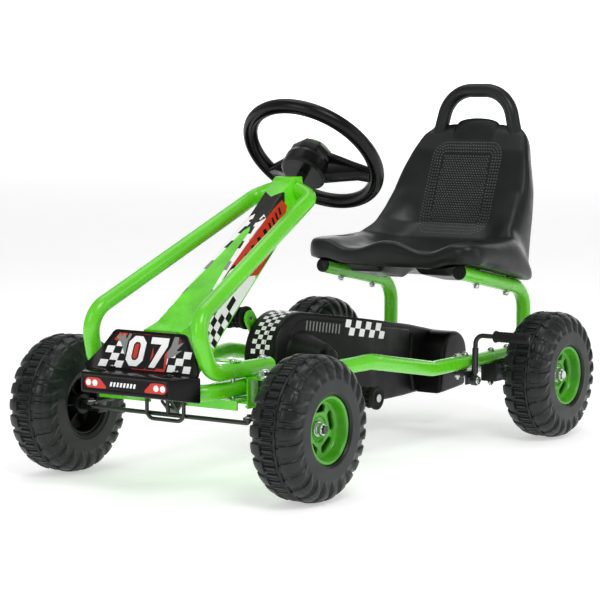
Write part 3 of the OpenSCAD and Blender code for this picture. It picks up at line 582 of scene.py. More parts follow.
def hub_cover(name, side, front, bore):
    """Dished cover with a rounded lip, a pocket for the nut and oval windows."""
    profile = [
        (bore, 2), (14, 2), (14, 11), (15.5, 13.4), (18, 14), (39.5, 14), (41.6, 12.4), (42.5, 10), (42.5, 2),
        (46.9, 2), (46.9, 30.1), (50.9, 30.1), (50.9, 33.4), (50.5, 34.7), (49.6, 35.6), (48.2, 36),
        (46.7, 35.9), (45.5, 35.2), (44.8, 34), (43.9, 29), (42.7, 22.5), (41.9, 19.9), (40.6, 18.5),
        (38.6, 18), (20.8, 18), (19.4, 17.6), (18.7, 16.6), (18.4, 15.2), (18, 14.9), (bore, 14.9)]
    matrix = wheel_matrix(side, front)
    cover = turned(name, profile, "hub", matrix, 144, 50)
    for k in range(HUB_WINDOWS):
        turn = spun(matrix, (k + 0.5) * 360 / HUB_WINDOWS)
        at = turn @ Matrix.Translation((HUB_WINDOW_R * MM, 0, 10 * MM))
        cut(cover, extruded("window", oval(9, 6), 12, "hub", at))
    return applied(bevelled(cover, 0.8, 3, 50), 50)


def oval(half, radius, steps=10):
    """Outline of a slot along Y: two half circles `half` either side of the middle."""
    points = arc((0, half), radius, 0, 180, steps)
    return points + [(-x, -y) for x, y in points]


def cut(obj, tool):
    """Cuts the tool out of the object and removes the tool."""
    b = obj.modifiers.new("cut", "BOOLEAN")
    b.operation = "DIFFERENCE"
    b.solver = "EXACT"
    b.object = tool
    applied(obj)
    bpy.data.objects.remove(tool)


def wheel_core(name, side, front, bore):
    """The black inner half of the wheel, ribbed behind its web."""
    profile = [
        (bore, -30), (15.2, -30), (16, -29.2), (17.4, -12), (18.6, -9), (21, -8), (39.5, -8), (41.4, -9),
        (42.2, -11.5), (43, -33), (43.6, -34), (46.3, -34), (46.9, -33.4), (46.9, 1.9), (bore, 1.9)]
    matrix = wheel_matrix(side, front)
    parts = [turned(name, profile, "black", matrix, 96, 50)]
    rib = [(16.5, -24), (42.5, -14), (42.5, -7.5), (17.5, -7.5)]
    for k in range(CORE_RIBS):
        turn = spun(matrix, (k + 0.5) * 360 / CORE_RIBS)
        at = lifted(spun(turn, 90, "X"), -RIB_THICK / 2)
        parts.append(bevelled(extruded("rib", rib, RIB_THICK, "black", at), 0.5))
    return joined(name, parts)


def nut_and_washer(matrix, bore, across, height, washer, thick=1.6):
    """A plated nut on its washer, which stands at the matrix's origin, and a raised collar."""
    disc = [(bore, 0), (washer - 0.5, 0), (washer, 0.4), (washer, thick - 0.4), (washer - 0.5, thick),
            (bore, thick)]
    collar = [(bore, height - 0.2), (across * 0.72, height - 0.2), (across * 0.66, height + 0.9),
              (bore + 0.3, height + 1.1), (bore, height + 0.8)]
    lift = lifted(matrix, thick + 0.1)
    return [turned("washer", disc, "zinc", matrix, 48),
            bevelled(extruded("nut", circle((0, 0), across, 6), height, "zinc", lift), 0.6),
            turned("collar", collar, "zinc", lift, 40)]


def wheels():
    for side, hand in SIDES:
        mesh = tyre_mesh(side)
        for end in ("front", "rear"):
            front = end == "front"
            where = "%s_%s" % (end, hand)
            bore = (FRONT_AXLE_R if front else REAR_AXLE_R) + 0.05
            tyre = linked("tread_" + where, mesh)
            tyre.matrix_world = spun(Matrix.Translation(node_centre("tyre_" + where)), 90, "Y")
            settle(tyre, "tyre_" + where)
            settle(hub_cover("hub_" + where, side, front, bore), "hub_cover_" + where)
            settle(wheel_core("core_" + where, side, front, bore), "wheel_core_" + where)


def axle_hardware():
    for side, hand in SIDES:
        parts = nut_and_washer(lifted(wheel_matrix(side, True), HUB_FACE), 6.05, 9.6, 8.4, 11.2)
        settle(joined("front_nut_" + hand, parts), "axle_nut_front_" + hand)
    parts = []
    spacer = [(7.55, -82.9), (9.6, -82.9), (10, -82.5), (10, -30.7), (9.6, -30.3), (7.55, -30.3)]
    for side in (1, -1):
        at = wheel_matrix(side, False)
        parts += nut_and_washer(lifted(at, HUB_FACE), 7.55, 11.5, 8.4, 13.2)
        parts.append(turned("spacer", spacer, "zinc", at, 40))
    pin = [(0, -16.5), (2.4, -16.5), (3, -16), (3, 16), (2.4, 16.5), (0, 16.5)]
    parts.append(solid_turned("pin", pin, "zinc", spun(lifted(wheel_matrix(-1, False), -24), 90, "Y"), 24))
    settle(joined("rear_axle_set", parts), "rear_axle_fittings")


# ---- Frame ----

TUBE_R = 12.5
BORE_R = 11
SWAGE = 10.9 / TUBE_R
RAIL_X = 138
RAIL_HALF = [(RAIL_X, 250, 134), (RAIL_X, 135, 134), (RAIL_X, -55, 166), (100, -445, 157)]
HOOP = [(20, -88, 436), (53, -98, 425), (98.7, -462, 262), (107, -436, 185.5), (115, -300, 185.5)]
SEAT_TUBE = [(RAIL_X, 223, 287), (RAIL_X, 447, 243.5), (RAIL_X, 447, 134), (RAIL_X, 205, 134)]
RAIL_BOLTS = (217, 242)
BEARING_BOLTS = (331, 387)
HOOP_BOLTS = (-385, -316)
SEAT_BOLTS = (60, 165)
SEAT_SLOPE = math.radians(11)
KINGPIN_X = 148
BRAKE_Y = 237


def hoop_x(y):
    return 107 + (y + 436) / 136 * 8


def dented(spots):
    """A press() for sweep(): each (x, y, z, depth, reach, upright) spot pinches the tube around it
    and lets it bulge the other way. upright spots press the top and bottom, others the sides."""
    centres = [(place(*spot[:3]), *spot[3:]) for spot in spots]

    def press(here):
        wide, tall = 1.0, 1.0
        for centre, depth, reach, upright in centres:
            d = depth * math.exp(-((here - centre).length / (reach * MM)) ** 2)
            if upright:
                wide, tall = wide + 0.5 * d, tall - d
            else:
                wide, tall = wide - d, tall + 0.5 * d
        return wide, tall

    return press


def tube(name, node, path, press):
    """A painted frame tube with open ends, in place of the CAD's."""
    settle(sweep(name, path, TUBE_R, "paint", press=press, bore=BORE_R), node)


def frame_tubes():
    dents = []
    for side in (1, -1):
        dents += [(side * 133, -72, 164, 0.07, 12, False), (side * 134, -38, 163, 0.07, 12, False)]
        dents += [(side * RAIL_X, y, 134, 0.07, 9, True) for y in RAIL_BOLTS]
        dents += [(side * hoop_x(y), y, 158, 0.06, 12, True) for y in HOOP_BOLTS]
    rail = rounded_path(RAIL_HALF + mirrored(RAIL_HALF)[::-1], [60, 60, 32, 32, 60, 60], 3)
    tube("rail_tube", "main_frame_tube", rail, dented(dents))
    for side, hand in SIDES:
        dents = [(side * hoop_x(y), y, 185.5, 0.14, 11, True) for y in HOOP_BOLTS]
        path = rounded_path(HOOP if side > 0 else mirrored(HOOP), [28, 40, 30], 3)
        tube("hoop_" + hand, "hoop_tube_" + hand, path, dented(dents))
        seat_dents = dented([(side * RAIL_X, 283, 275, 0.07, 9, True),
                             (side * RAIL_X, 386, 255, 0.07, 9, True)])

        def seat_press(here, dents=seat_dents):
            """The dents under the seat's bolts, and the swaged end that goes into the rail."""
            wide, tall = dents(here)
            neck = 1
            if here.z < 0.15:
                neck = mix(1, SWAGE, smoothstep(-401, -393, -here.y / MM + MID_Y / MM))
            return wide * neck, tall * neck

        path = rounded_path(SEAT_TUBE if side > 0 else mirrored(SEAT_TUBE), [44, 40], 3)
        tube("seat_stay_" + hand, "seat_tube_" + hand, path, seat_press)


def seat_run(side, s, z):
    """A matrix in the seat's sliding frame: Y down the seat tubes, Z square to them."""
    base = Matrix.Translation(place(0, 223, 287)) @ Matrix.Rotation(-SEAT_SLOPE, 4, "X")
    return base @ Matrix.Translation((side * RAIL_X * MM, s * MM, z * MM))


def bolt(matrix, radius, length, head, washer):
    """A domed bolt on its washer, along the matrix's Z, whose washer lies at the origin."""
    disc = [(radius + 0.1, 0), (washer - 0.4, 0), (washer, 0.3), (washer, 0.9), (washer - 0.4, 1.2),
            (radius + 0.1, 1.2)]
    dome = [(0, -length), (radius - 0.4, -length), (radius, -length + 0.4), (radius, 1.3), (head, 1.3)]
    steps = 7
    for i in range(steps):
        a = math.pi / 2 * i / steps
        dome.append((head * math.cos(a), 1.9 + 0.62 * head * math.sin(a)))
    dome.append((0, 1.9 + 0.62 * head))
    return [turned("washer", disc, "zinc", matrix, 40), solid_turned("bolt", dome, "zinc", matrix, 32)]


def fasteners():
    parts = []
    for side in (1, -1):
        for y, top, low in zip(HOOP_BOLTS, (198.4, 197.0), (132.8, 138.9)):
            parts += bolt(upright(side * hoop_x(y), y, top), 3, top - low, 5.6, 8)
        for spots, top, length in ((RAIL_BOLTS, TUBE_R - 0.3, 39), (BEARING_BOLTS, TUBE_R * SWAGE + 0.1, 61)):
            for y in spots:
                parts += bolt(upright(side * RAIL_X, y, 134 + top), 3, length, 5.4, 7)
    stud = [(0, 0), (3.5, 0), (4, 0.5), (4, 1), (6, 1), (6.5, 1.5), (6.5, 4.3), (6, 4.8), (4, 4.8), (4, 21.4),
            (6.4, 21.4), (7, 22), (7, 23.8), (6.2, 24.4), (4, 24.4), (3.4, 25), (0, 25)]
    parts.append(solid_turned("stud", stud, "zinc", lying(144, BRAKE_Y, 105), 40))
    settle(joined("frame_screws", parts), "frame_bolts")

    parts = []
    pin = [(0, 124), (7, 124), (8, 125), (8, 128.9), (7.2, 129.9), (5, 129.9), (5, 186.4), (4.2, 188),
           (0, 188)]
    flange = [(5.05, 176.9), (10.4, 176.9), (10.6, 177.3), (9.4, 178.8), (5.05, 178.8)]
    for side in (1, -1):
        at = upright(side * KINGPIN_X, FRONT_Y, 0)
        parts.append(solid_turned("pin", pin, "zinc", at, 40))
        parts += nut_and_washer(lifted(at, 175.1), 5.05, 9.5, 8, 11.2)
        parts.append(turned("flange", flange, "zinc", at, 48))
    settle(joined("king_bolts", parts), "kingpins")

    screw = [(0, -24), (1.6, -24), (2, -23.6), (2, 0), (5.2, 0), (5.6, 0.4), (5.4, 1.2), (4.2, 2.4),
             (2.2, 3.1), (0, 3.3)]
    parts = [solid_turned("screw", screw, "zinc", upright(side * 60, -451, 187.1), 32) for side in (1, -1)]
    settle(joined("bumper_screws", parts), "panel_screws")

    parts = []
    head = [(0, -20), (2.6, -20), (3, -19.6), (3, 14.6), (5.6, 14.6), (6, 15), (6, 16.8), (5.2, 17.6),
            (0, 17.6)]
    for side in (1, -1):
        for s in SEAT_BOLTS:
            parts.append(solid_turned("bolt", head, "zinc", seat_run(side, s, 0), 32))
            under = spun(seat_run(side, s, -TUBE_R - 0.2), 180, "X")
            parts += nut_and_washer(under, 3.05, 5.7, 5, 7.2, 1)
    settle(joined("seat_screws", parts), "seat_bolts")


def small_steel():
    """Plain mechanical pieces: the CAD's own shapes with rounded edges."""
    for node, width in (
            ("front_axle_beam", 0.8), ("column_bracket", 0.8), ("nylon_bushes", 0.5), ("centre_spine", 0.8),
            ("rear_crossbar", 0.7), ("tube_end_caps", 1.0), ("axle_bearing_left", 1.6),
            ("axle_bearing_right", 1.6), ("brake_bracket", 0.6), ("frame_nuts", 0.5), ("knuckle_left", 0.7),
            ("knuckle_right", 0.7), ("tie_rod_clips", 0.3), ("rear_axle", 0.8), ("rear_sprocket", 0.25),
            ("crank_axle", 0.8), ("crank_arm_left", 0.8), ("crank_arm_right", 0.8), ("chainring", 0.25),
            ("pedal_spindles", 0.4), ("steering_column", 0.6), ("steering_nut", 0.4)):
        refined(node, width)


# ---- Steering ----

WHEEL_CENTRE = (0, -13.8, 488.9)
RIM_MID = 111
RIM_R = 12
SPOKE_ANGLES = (24, 156)
WEB_THICK = 24


def column():
    """The steering wheel's frame: Z up the column, Y towards the driver."""
    return axes_at(WHEEL_CENTRE, (1, 0, 0), (0, 1, -1))


def wheel_hub(at):
    """The steering wheel's hub: round in the middle and eight-sided at its rim."""
    levels = [(24, -20), (33, -20), (36, -15), (36, -2), (31, 7.4), (29.4, 8), (27.4, 8), (27, 7.6),
              (12.6, 7.6), (12.6, -1), (8.05, -1), (8.05, -20)]
    steps = 64
    points = []
    for r, z in levels:
        faceted = smoothstep(12.6, 26, r)
        for k in range(steps):
            a = 2 * math.pi * k / steps
            facet = math.cos(math.pi / 8) / math.cos((a % (math.pi / 4)) - math.pi / 8)
            reach = r * mix(1, facet, faceted)
            points.append(at @ Vector((reach * math.cos(a) * MM, reach * math.sin(a) * MM, z * MM)))
    faces = quads(len(levels), steps, close_rows=True, close_columns=True)
    return bevelled(new_object("hub", mesh_of(points, faces, 20), "wheel"), 0.8, 2, 18)


def steering():
    at = column()
    rim = arc((RIM_MID, 0), RIM_R, -68, 248, 40)
    rim += [(RIM_MID + x, z) for x, z in ((-3.4, -10.2), (-2.9, -5.6), (-2, -4.8), (2, -4.8), (2.9, -5.6),
                                          (3.4, -10.2))]
    parts = [turned("rim", rim, "wheel", at, 160, 40)]
    arm = [(22, -20), (46, -18), (70, -15.5), (104, -14), (106, -14), (106, 14), (104, 14), (70, 15.5),
           (46, 18), (22, 20)]
    well = [(40, -10), (66, -9), (88, -8), (91, 0), (88, 8), (66, 9), (40, 10), (37, 0)]
    web = [(16, -42), (34, -41), (58, -28), (84, -14.5), (103, -11), (103, -5), (16, -5)]
    for degrees in SPOKE_ANGLES:
        turn = spun(at, degrees)
        spoke = extruded("spoke", arm, 9, "wheel", lifted(turn, -8))
        cut(spoke, extruded("well", well, 6, "wheel", lifted(turn, -1.2)))
        parts.append(bevelled(spoke, 1.6, 3))
        across = lifted(spun(turn, 90, "X"), -WEB_THICK / 2)
        parts.append(bevelled(extruded("web", web, WEB_THICK, "wheel", across), 2.2, 3))
    boss = [(8.05, -44), (34, -44), (38, -41), (38, -22), (35.4, -16), (8.05, -16)]
    parts += [turned("boss", boss, "wheel", at, 96), wheel_hub(at)]
    settle(joined("wheel_rim", parts), "steering_wheel")
    cap = [(0, 8.2), (24.6, 8.2), (25.8, 8.5), (26, 9.4), (25.2, 11.6), (23.2, 13.2), (21, 13.8),
           (18.6, 13.8), (18, 13.3), (8, 13.6), (0, 13.7)]
    clip = [(9, 6.6), (12.4, 6.6), (12.4, 8.3), (9, 8.3)]
    parts = [solid_turned("cap", cap, "green", at, 72), turned("clip", clip, "green", at, 48)]
    settle(joined("wheel_cap", parts), "steering_hub_cap")

    y = FRONT_Y - 39
    bent = rounded_path([(-KINGPIN_X, y, 126), (-KINGPIN_X, y, 113), (KINGPIN_X, y, 113),
                         (KINGPIN_X, y, 126)], [5, 5], 2)
    pin = rounded_path([(0, y, 113), (0, y - 2.35, 139.9)], [])
    parts = [sweep("rod", bent, 3.5, "black_paint", BACK, 24), sweep("pin", pin, 3, "black_paint", BACK, 24)]
    settle(joined("track_rod", parts), "tie_rod")


# ---- Pedals, chain and brake ----

CRANK_Y = -43.3
CRANK_Z = 162
CRANK_R = 80
CRANK_ANGLE = math.radians(-52.7)
PEDAL_IN = {1: 58.5, -1: 75.5}
PEDAL_OUT = 114
SPINDLE_R = 4.05


def crank_hub():
    """The black cover over the left crank arm's hub."""
    cover = [(0, 56.7), (15.2, 56.7), (15.2, 50.8), (16.2, 50.8), (16.6, 51.4), (16.6, 56.6), (15.4, 58),
             (13, 58.8), (0, 59.2)]
    piece = solid_turned("crank_hub_cover", cover, "black", lying(0, CRANK_Y, CRANK_Z), 64)
    settle(piece, body=node_bodies["crank_arm_left"], slot="black_plastic")


def pedals():
    for side, hand in SIDES:
        y = CRANK_Y + side * CRANK_R * math.cos(CRANK_ANGLE)
        z = CRANK_Z + side * CRANK_R * math.sin(CRANK_ANGLE)
        at = spun(upright(0, y, z), side * 90, "Y")
        start = PEDAL_IN[side]
        flange = [(SPINDLE_R, 0), (18, 0), (18.8, 0.7), (19, 1.6), (19, 4.4), (18.8, 5.3), (18, 6), (15.5, 6),
                  (14.5, 5.2), (7.5, 5.2), (6.8, 6), (SPINDLE_R, 6)]
        parts = [turned("flange", [(r, low + h) for r, h in flange], "rubber", at)
                 for low in (start, PEDAL_OUT - 6)]
        outer = []
        for k in range(96):
            a = 2 * math.pi * k / 96
            r = 13.2 + 2.8 * min(1, max(0, 0.5 + 0.9 * math.cos(12 * a)))
            outer.append((r * math.cos(a), r * math.sin(a)))
        spool = extruded("spool", outer, PEDAL_OUT - 10.3 - start, "rubber", lifted(at, start + 5.1))
        cut(spool, extruded("bore", circle((0, 0), SPINDLE_R, 96), 60, "rubber", lifted(at, 60)))
        parts.append(bevelled(spool, 0.5, 2, 60))
        band = [(12, 0), (16.9, 0), (17.4, 0.6), (17.4, 2), (16.9, 2.6), (12, 2.6)]
        for share in (0.28, 0.5, 0.72):
            low = mix(start, PEDAL_OUT, share) - 1.3
            parts.append(turned("band", [(r, low + h) for r, h in band], "rubber", at))
        settle(joined("pedal_spool_" + hand, parts), "pedal_" + hand)


def brake():
    x, y, grip_y = 159.8, BRAKE_Y, BRAKE_Y + 3
    bent = rounded_path([(x, y, 108), (x, grip_y, 181), (262, grip_y, 181)], [14], 3)
    stem = rounded_path([(x, y + 0.6, 116), (x, y + 2.2, 160)], [])
    boss = [(4.05, -5), (8.2, -5), (9, -4.2), (9, 4.2), (8.2, 5), (4.05, 5)]
    parts = [sweep("rod", bent, 4, "black_paint", BACK, 28),
             sweep("sleeve", stem, 5.4, "black_paint", BACK, 28),
             turned("boss", boss, "black_paint", lying(x, y, 105), 48)]
    settle(joined("brake_arm", parts), "brake_lever")
    grip = [(4.05, 197), (9.6, 197), (10.2, 197.8), (10.2, 199.4), (9.6, 200.2)]
    for k in range(10):
        x = 203 + 5.4 * k
        grip += [(8.1, x - 1.6), (8.1, x - 0.9), (9, x), (9, x + 1.8), (8.1, x + 2.7)]
    grip += [(9, 257.5), (9, 260.8), (8, 262.4), (6.4, 263), (4.05, 263)]
    settle(turned("brake_handle", grip, "rubber", lying(0, grip_y, 181), 48), "brake_grip")


CHAIN_X = -28
PITCH = 12.7
RING_TEETH = 25
SPROCKET_TEETH = 15
LINKS = 84
LINK_R = 4
LINK_WAIST = 2.9
INNER_PLATE_X = 3.3
OUTER_PLATE_X = 4.2
PLATE_THICK = 0.8


def chain():
    """Link plates and rollers along the two wraps and the two straight runs."""
    ring_step, sprocket_step = 2 * math.pi / RING_TEETH, 2 * math.pi / SPROCKET_TEETH
    ring_r = PITCH / 2 / math.sin(ring_step / 2)
    sprocket_r = PITCH / 2 / math.sin(sprocket_step / 2)
    ring_c, sprocket_c = Vector((CRANK_Y, CRANK_Z)), Vector((REAR_Y, AXLE_Z))
    between = sprocket_c - ring_c
    lean = math.atan2(between.y, between.x)
    belt = math.asin((ring_r - sprocket_r) / between.length)
    ring_wrap = (math.pi + 2 * belt) / ring_step
    sprocket_wrap = (math.pi - 2 * belt) / sprocket_step
    run = (LINKS - ring_wrap - sprocket_wrap) / 2

    def on_ring(i):
        a = lean + math.pi / 2 - belt + i * ring_step
        return ring_c + Vector((math.cos(a), math.sin(a))) * ring_r

    def on_sprocket(i):
        a = lean - math.pi / 2 + belt + i * sprocket_step
        return sprocket_c + Vector((math.cos(a), math.sin(a))) * sprocket_r

    def roller(i):
        if i < ring_wrap:
            return on_ring(i)
        if i < ring_wrap + run:
            return on_ring(ring_wrap).lerp(on_sprocket(0), (i - ring_wrap) / run)
        if i < LINKS - run:
            return on_sprocket(i - ring_wrap - run)
        return on_sprocket(sprocket_wrap).lerp(on_ring(0), (i - LINKS + run) / run)

    pin = [(0, -5.2), (1.5, -5.2), (1.8, -4.9), (1.8, -2.8), (3.7, -2.8), (3.9, -2.5), (3.9, 2.5), (3.7, 2.8),
           (1.8, 2.8), (1.8, 4.9), (1.5, 5.2), (0, 5.2)]
    parts = []
    for i in range(LINKS):
        a, b = roller(i), roller((i + 1) % LINKS)
        length = (b - a).length
        at = axes_at((CHAIN_X, a.x, a.y), (0, b.x - a.x, b.y - a.y), (0, a.y - b.y, b.x - a.x))
        plate = arc((0, 0), LINK_R, 90, 270, 8) + [(length / 2, -LINK_WAIST)]
        plate += arc((length, 0), LINK_R, -90, 90, 8) + [(length / 2, LINK_WAIST)]
        offset = INNER_PLATE_X if i % 2 else OUTER_PLATE_X
        for middle in (offset, -offset):
            parts.append(extruded("plate", plate, PLATE_THICK, "chain", lifted(at, middle - PLATE_THICK / 2)))
        parts.append(solid_turned("roller", pin, "chain", at, 16))
    settle(joined("roller_chain", parts), "drive_chain")


# ---- Seat ----

# The seat's skin runs from the foot of its front wall, k = 0, over the pan and up the back to the
# top edge, k = 1; a second skin runs under and behind it. (Y, Z) at the keys, for the middle and
# for the raised sides, with the half width.
SEAT_KEYS = [0, 0.03, 0.06, 0.09, 0.12, 0.16, 0.22, 0.34, 0.45, 0.53, 0.61, 0.70, 0.85, 0.95, 1]
FRONT_MIDDLE = [
    (217, 291), (209, 296), (207, 312), (208, 328), (215, 336), (232, 334), (262, 325), (330, 320),
    (402, 329), (436, 354), (448, 385), (461, 419), (487, 482), (512, 518), (524, 530)]
FRONT_SIDES = [
    (217, 300), (210, 302), (207, 313), (208, 327), (214, 334), (232, 336), (262, 336), (316, 335),
    (366, 338), (397, 360), (422, 384), (448, 414), (486, 484), (508, 514), (519, 524)]
BACK_KEYS = [0, 0.04, 0.07, 0.46, 0.51, 0.60, 0.76, 0.94, 0.98, 1]
BACK_MIDDLE = [
    (217, 291), (224, 292), (229, 299.2), (446, 257), (461, 264), (480, 318), (505, 400), (533, 498),
    (535, 518), (524, 530)]
BACK_SIDES = [
    (217, 300), (224, 300.2), (229, 299.6), (440, 258), (452, 266), (468, 318), (496, 400), (524, 496),
    (527, 514), (519, 524)]
WIDTH_KEYS = [0, 0.06, 0.22, 0.38, 0.45, 0.51, 0.61, 0.70, 0.78, 0.85, 0.90, 0.95, 1]
WIDTHS = [168, 173, 175, 175, 172, 152, 145, 140, 133, 121, 115, 107, 90]
SEAT_FLOOR = 320
SEAT_STEPS = np.linspace(0, 1, 401)
# The seat's skins meet in a round edge from this share of the half width on. Beyond CORNER_FROM
# its front corners are swept back.
EDGE_FROM = 0.84
CORNER_FROM = 134
CORNER_REACH = 42
CORNER_PUSH = 40
# The beads' area: its lower and upper Z, its half widths there and its corner radius
BEADS_LOW, BEADS_HIGH = 337, 497
BEADS_HALF_LOW, BEADS_HALF_HIGH = 73, 67
BEAD_CORNER = 26
BEAD_PITCH = 5.3
BEAD_RINGS = 4
# (radius, height) of a bead's three rings, and the height of its top
BEAD_SHAPE = [(1.7, -0.6), (1.7, 0.3), (1.2, 1.0)]
BEAD_TOP = 1.25


def smooth_curve(keys, values, rounds):
    """The values along even steps of 0 to 1, with their corners rounded."""
    fine = np.interp(SEAT_STEPS, keys, values)
    for _ in range(rounds):
        fine[1:-1] = (fine[:-2] + 2 * fine[1:-1] + fine[2:]) / 4
    return fine


def curve_pair(keys, points, rounds):
    points = np.array(points)
    return smooth_curve(keys, points[:, 0], rounds), smooth_curve(keys, points[:, 1], rounds)


def fade(low, high, value):
    t = np.clip((value - low) / (high - low), 0, 1)
    return t * t * (3 - 2 * t)


SEAT_CURVES = [
    curve_pair(SEAT_KEYS, FRONT_MIDDLE, 26), curve_pair(SEAT_KEYS, FRONT_SIDES, 26),
    curve_pair(BACK_KEYS, BACK_MIDDLE, 12), curve_pair(BACK_KEYS, BACK_SIDES, 12)]
SEAT_WIDTH = smooth_curve(WIDTH_KEYS, WIDTHS, 120)


def sampled(curve, k):
    return np.interp(k, SEAT_STEPS, curve)


def seat_front(k, x):
    """(Y, Z) of the sitting side at key k and distance x from the middle."""
    (mid_y, mid_z), (side_y, side_z) = [[sampled(c, k) for c in pair] for pair in SEAT_CURVES[:2]]
    reach = np.abs(x)
    hump = 1 - fade(6, 72, reach)
    foot, brim = FRONT_MIDDLE[0][1], FRONT_MIDDLE[4][1]
    lip = foot + (mid_z - foot) * (SEAT_FLOOR - foot) / (brim - foot)
    sunk = np.where(k < 0.12, lip, np.minimum(mid_z, SEAT_FLOOR + 0.2))
    rise = fade(0.30, 0.45, k)
    mid_z = mid_z * rise + (1 - rise) * (sunk + (mid_z - sunk) * hump)
    low_blend = fade(82, 130, reach)
    high_blend = fade(0.42, 0.97, reach / sampled(SEAT_WIDTH, k))
    blend = low_blend + (high_blend - low_blend) * fade(0.34, 0.55, k)
    y, z = mid_y + (side_y - mid_y) * blend, mid_z + (side_z - mid_z) * blend
    return y, z + seat_bump(k, x)


def seat_bump(k, x):
    """The round nose on the middle of the top edge."""
    return 11 * np.sqrt(np.clip(1 - (x / 43) ** 2, 0, 1)) * fade(0.9, 0.985, k)


def seat_back(k, x):
    """(Y, Z) of the underside and the rear."""
    (mid_y, mid_z), (side_y, side_z) = [[sampled(c, k) for c in pair] for pair in SEAT_CURVES[2:]]
    reach = np.abs(x)
    blend = fade(0.5, 0.97, reach / sampled(SEAT_WIDTH, k))
    y, z = mid_y + (side_y - mid_y) * blend, mid_z + (side_z - mid_z) * blend
    across = fade(22, 44, reach) * (1 - fade(98, 118, reach))
    along = fade(236, 256, y) * (1 - fade(330, 362, y)) * (1 - fade(0.44, 0.5, k))
    return y, z - 17 * across * along + seat_bump(k, x)


def seat():
    rows, columns = 170, 150
    k = np.linspace(0, 1, rows)[:, None] * np.ones((1, columns))
    turn = np.linspace(-math.pi / 2, math.pi / 2, columns)
    across = np.sin(turn) * 0.55 + turn / (math.pi / 2) * 0.45
    xi = np.ones((rows, 1)) * across[None, :]
    x = xi * sampled(SEAT_WIDTH, k)
    edge = np.clip((np.abs(xi) - EDGE_FROM) / (1 - EDGE_FROM), 0, 1)
    thick = (1 - edge ** 3) ** (1 / 3)
    corner = np.clip((np.abs(x) - CORNER_FROM) / CORNER_REACH, 0, 1)
    push = CORNER_PUSH * (1 - np.sqrt(1 - corner ** 2)) * (1 - fade(0.1, 0.32, k))
    front_y, front_z = seat_front(k, x)
    back_y, back_z = seat_back(k, x)
    middle_y, middle_z = (front_y + back_y) / 2, (front_z + back_z) / 2
    points = []
    for skin_y, skin_z in ((front_y, front_z), (back_y, back_z)):
        y, z = middle_y + (skin_y - middle_y) * thick + push, middle_z + (skin_z - middle_z) * thick
        points += [place(x[r, c], y[r, c], z[r, c]) for r in range(rows) for c in range(columns)]
    faces = quads(rows, columns) + quads(rows, columns, rows * columns)
    body = new_object("seat_body", mesh_of(points, faces, 50, 2e-5), "seat")
    for side in (1, -1):
        cut(body, extruded("well", oval(15, 9.5, 12), 60, "seat", seat_run(side, 60, 14.8)))
    shade_by_angle(body.data, 50)
    loop = rounded_path([(82, 519, 498), (59, 525, 591), (-59, 525, 591), (-82, 519, 498)], [57, 57], 3)
    parts = [body, sweep("handle", loop, 12.6, "seat", BACK, 40), seat_beads()]
    settle(joined("seat_moulding", parts), "seat_shell")


def border_spots(row):
    """Evenly spaced (x, z) along a rounded ring, `row` rings in from the border."""
    inset = row * BEAD_PITCH
    radius = BEAD_CORNER - inset
    wide, tall = (BEADS_HALF_LOW + BEADS_HALF_HIGH) / 2 - inset, (BEADS_HIGH - BEADS_LOW) / 2 - inset
    loop = []
    for quarter, (x_sign, z_sign) in enumerate(((1, 1), (-1, 1), (-1, -1), (1, -1))):
        centre = ((wide - radius) * x_sign, (tall - radius) * z_sign)
        loop += arc(centre, radius, 90 * quarter, 90 * quarter + 90, 12)
    loop.append(loop[0])
    travelled = np.concatenate([[0], np.cumsum([math.dist(p, q) for p, q in zip(loop, loop[1:])])])
    count = round(travelled[-1] / BEAD_PITCH)
    at = travelled[-1] * np.arange(count) / count
    xs, zs = (np.interp(at, travelled, [p[axis] for p in loop]) for axis in (0, 1))
    return [(float(x), (BEADS_LOW + BEADS_HIGH) / 2 + float(z)) for x, z in zip(xs, zs)]


def lattice_spots():
    """Staggered (x, z) rows that fill the inside of the rings."""
    inset = BEAD_RINGS * BEAD_PITCH
    radius = BEAD_CORNER - inset
    low, high = BEADS_LOW + inset, BEADS_HIGH - inset
    spots = []
    z, odd = low, False
    while z <= high:
        limit = mix(BEADS_HALF_LOW, BEADS_HALF_HIGH, (z - BEADS_LOW) / (BEADS_HIGH - BEADS_LOW)) - inset
        near_end = max(0, radius - min(z - low, high - z))
        limit -= radius - math.sqrt(max(0, radius ** 2 - near_end ** 2))
        x = BEAD_PITCH / 2 if odd else 0
        while x <= limit:
            spots += [(x, z), (-x, z)] if x > 0 else [(x, z)]
            x += BEAD_PITCH
        z, odd = z + BEAD_PITCH * 0.8, not odd
    return spots


def seat_beads():
    """Rows of small beads on the back: rounded rings at the border and a lattice inside. They are the seat's
    own black plastic, drawn lighter as a painted highlight on each bead.
    """
    spots = [spot for row in range(BEAD_RINGS) for spot in border_spots(row)] + lattice_spots()
    keys = np.linspace(0.46, 0.93, 200)
    points, faces = [], []
    for x, z in spots:
        y_curve, z_curve = seat_front(keys, np.full(200, x))
        y, above, below = (float(np.interp(z + step, z_curve, y_curve)) for step in (0, 1, -1))
        up = Vector((0, (above - below) / 2, 1)).normalized()
        out = Vector((0, -up.z, up.y))
        base = Vector((x, y, z))
        first = len(points)
        for r, height in BEAD_SHAPE:
            for i in range(8):
                a = math.pi / 4 * i
                points.append(place(*(base + RIGHT * r * math.cos(a) + up * r * math.sin(a) + out * height)))
        points.append(place(*(base + out * BEAD_TOP)))
        faces.append(tuple(range(first, first + 8)))
        faces += quads(3, 8, first, close_columns=True)
        faces += [(first + 16 + i, first + 16 + (i + 1) % 8, first + 24) for i in range(8)]
    return new_object("beads", mesh_of(points, faces, 80), "bead")


# ---- Plastic panels ----

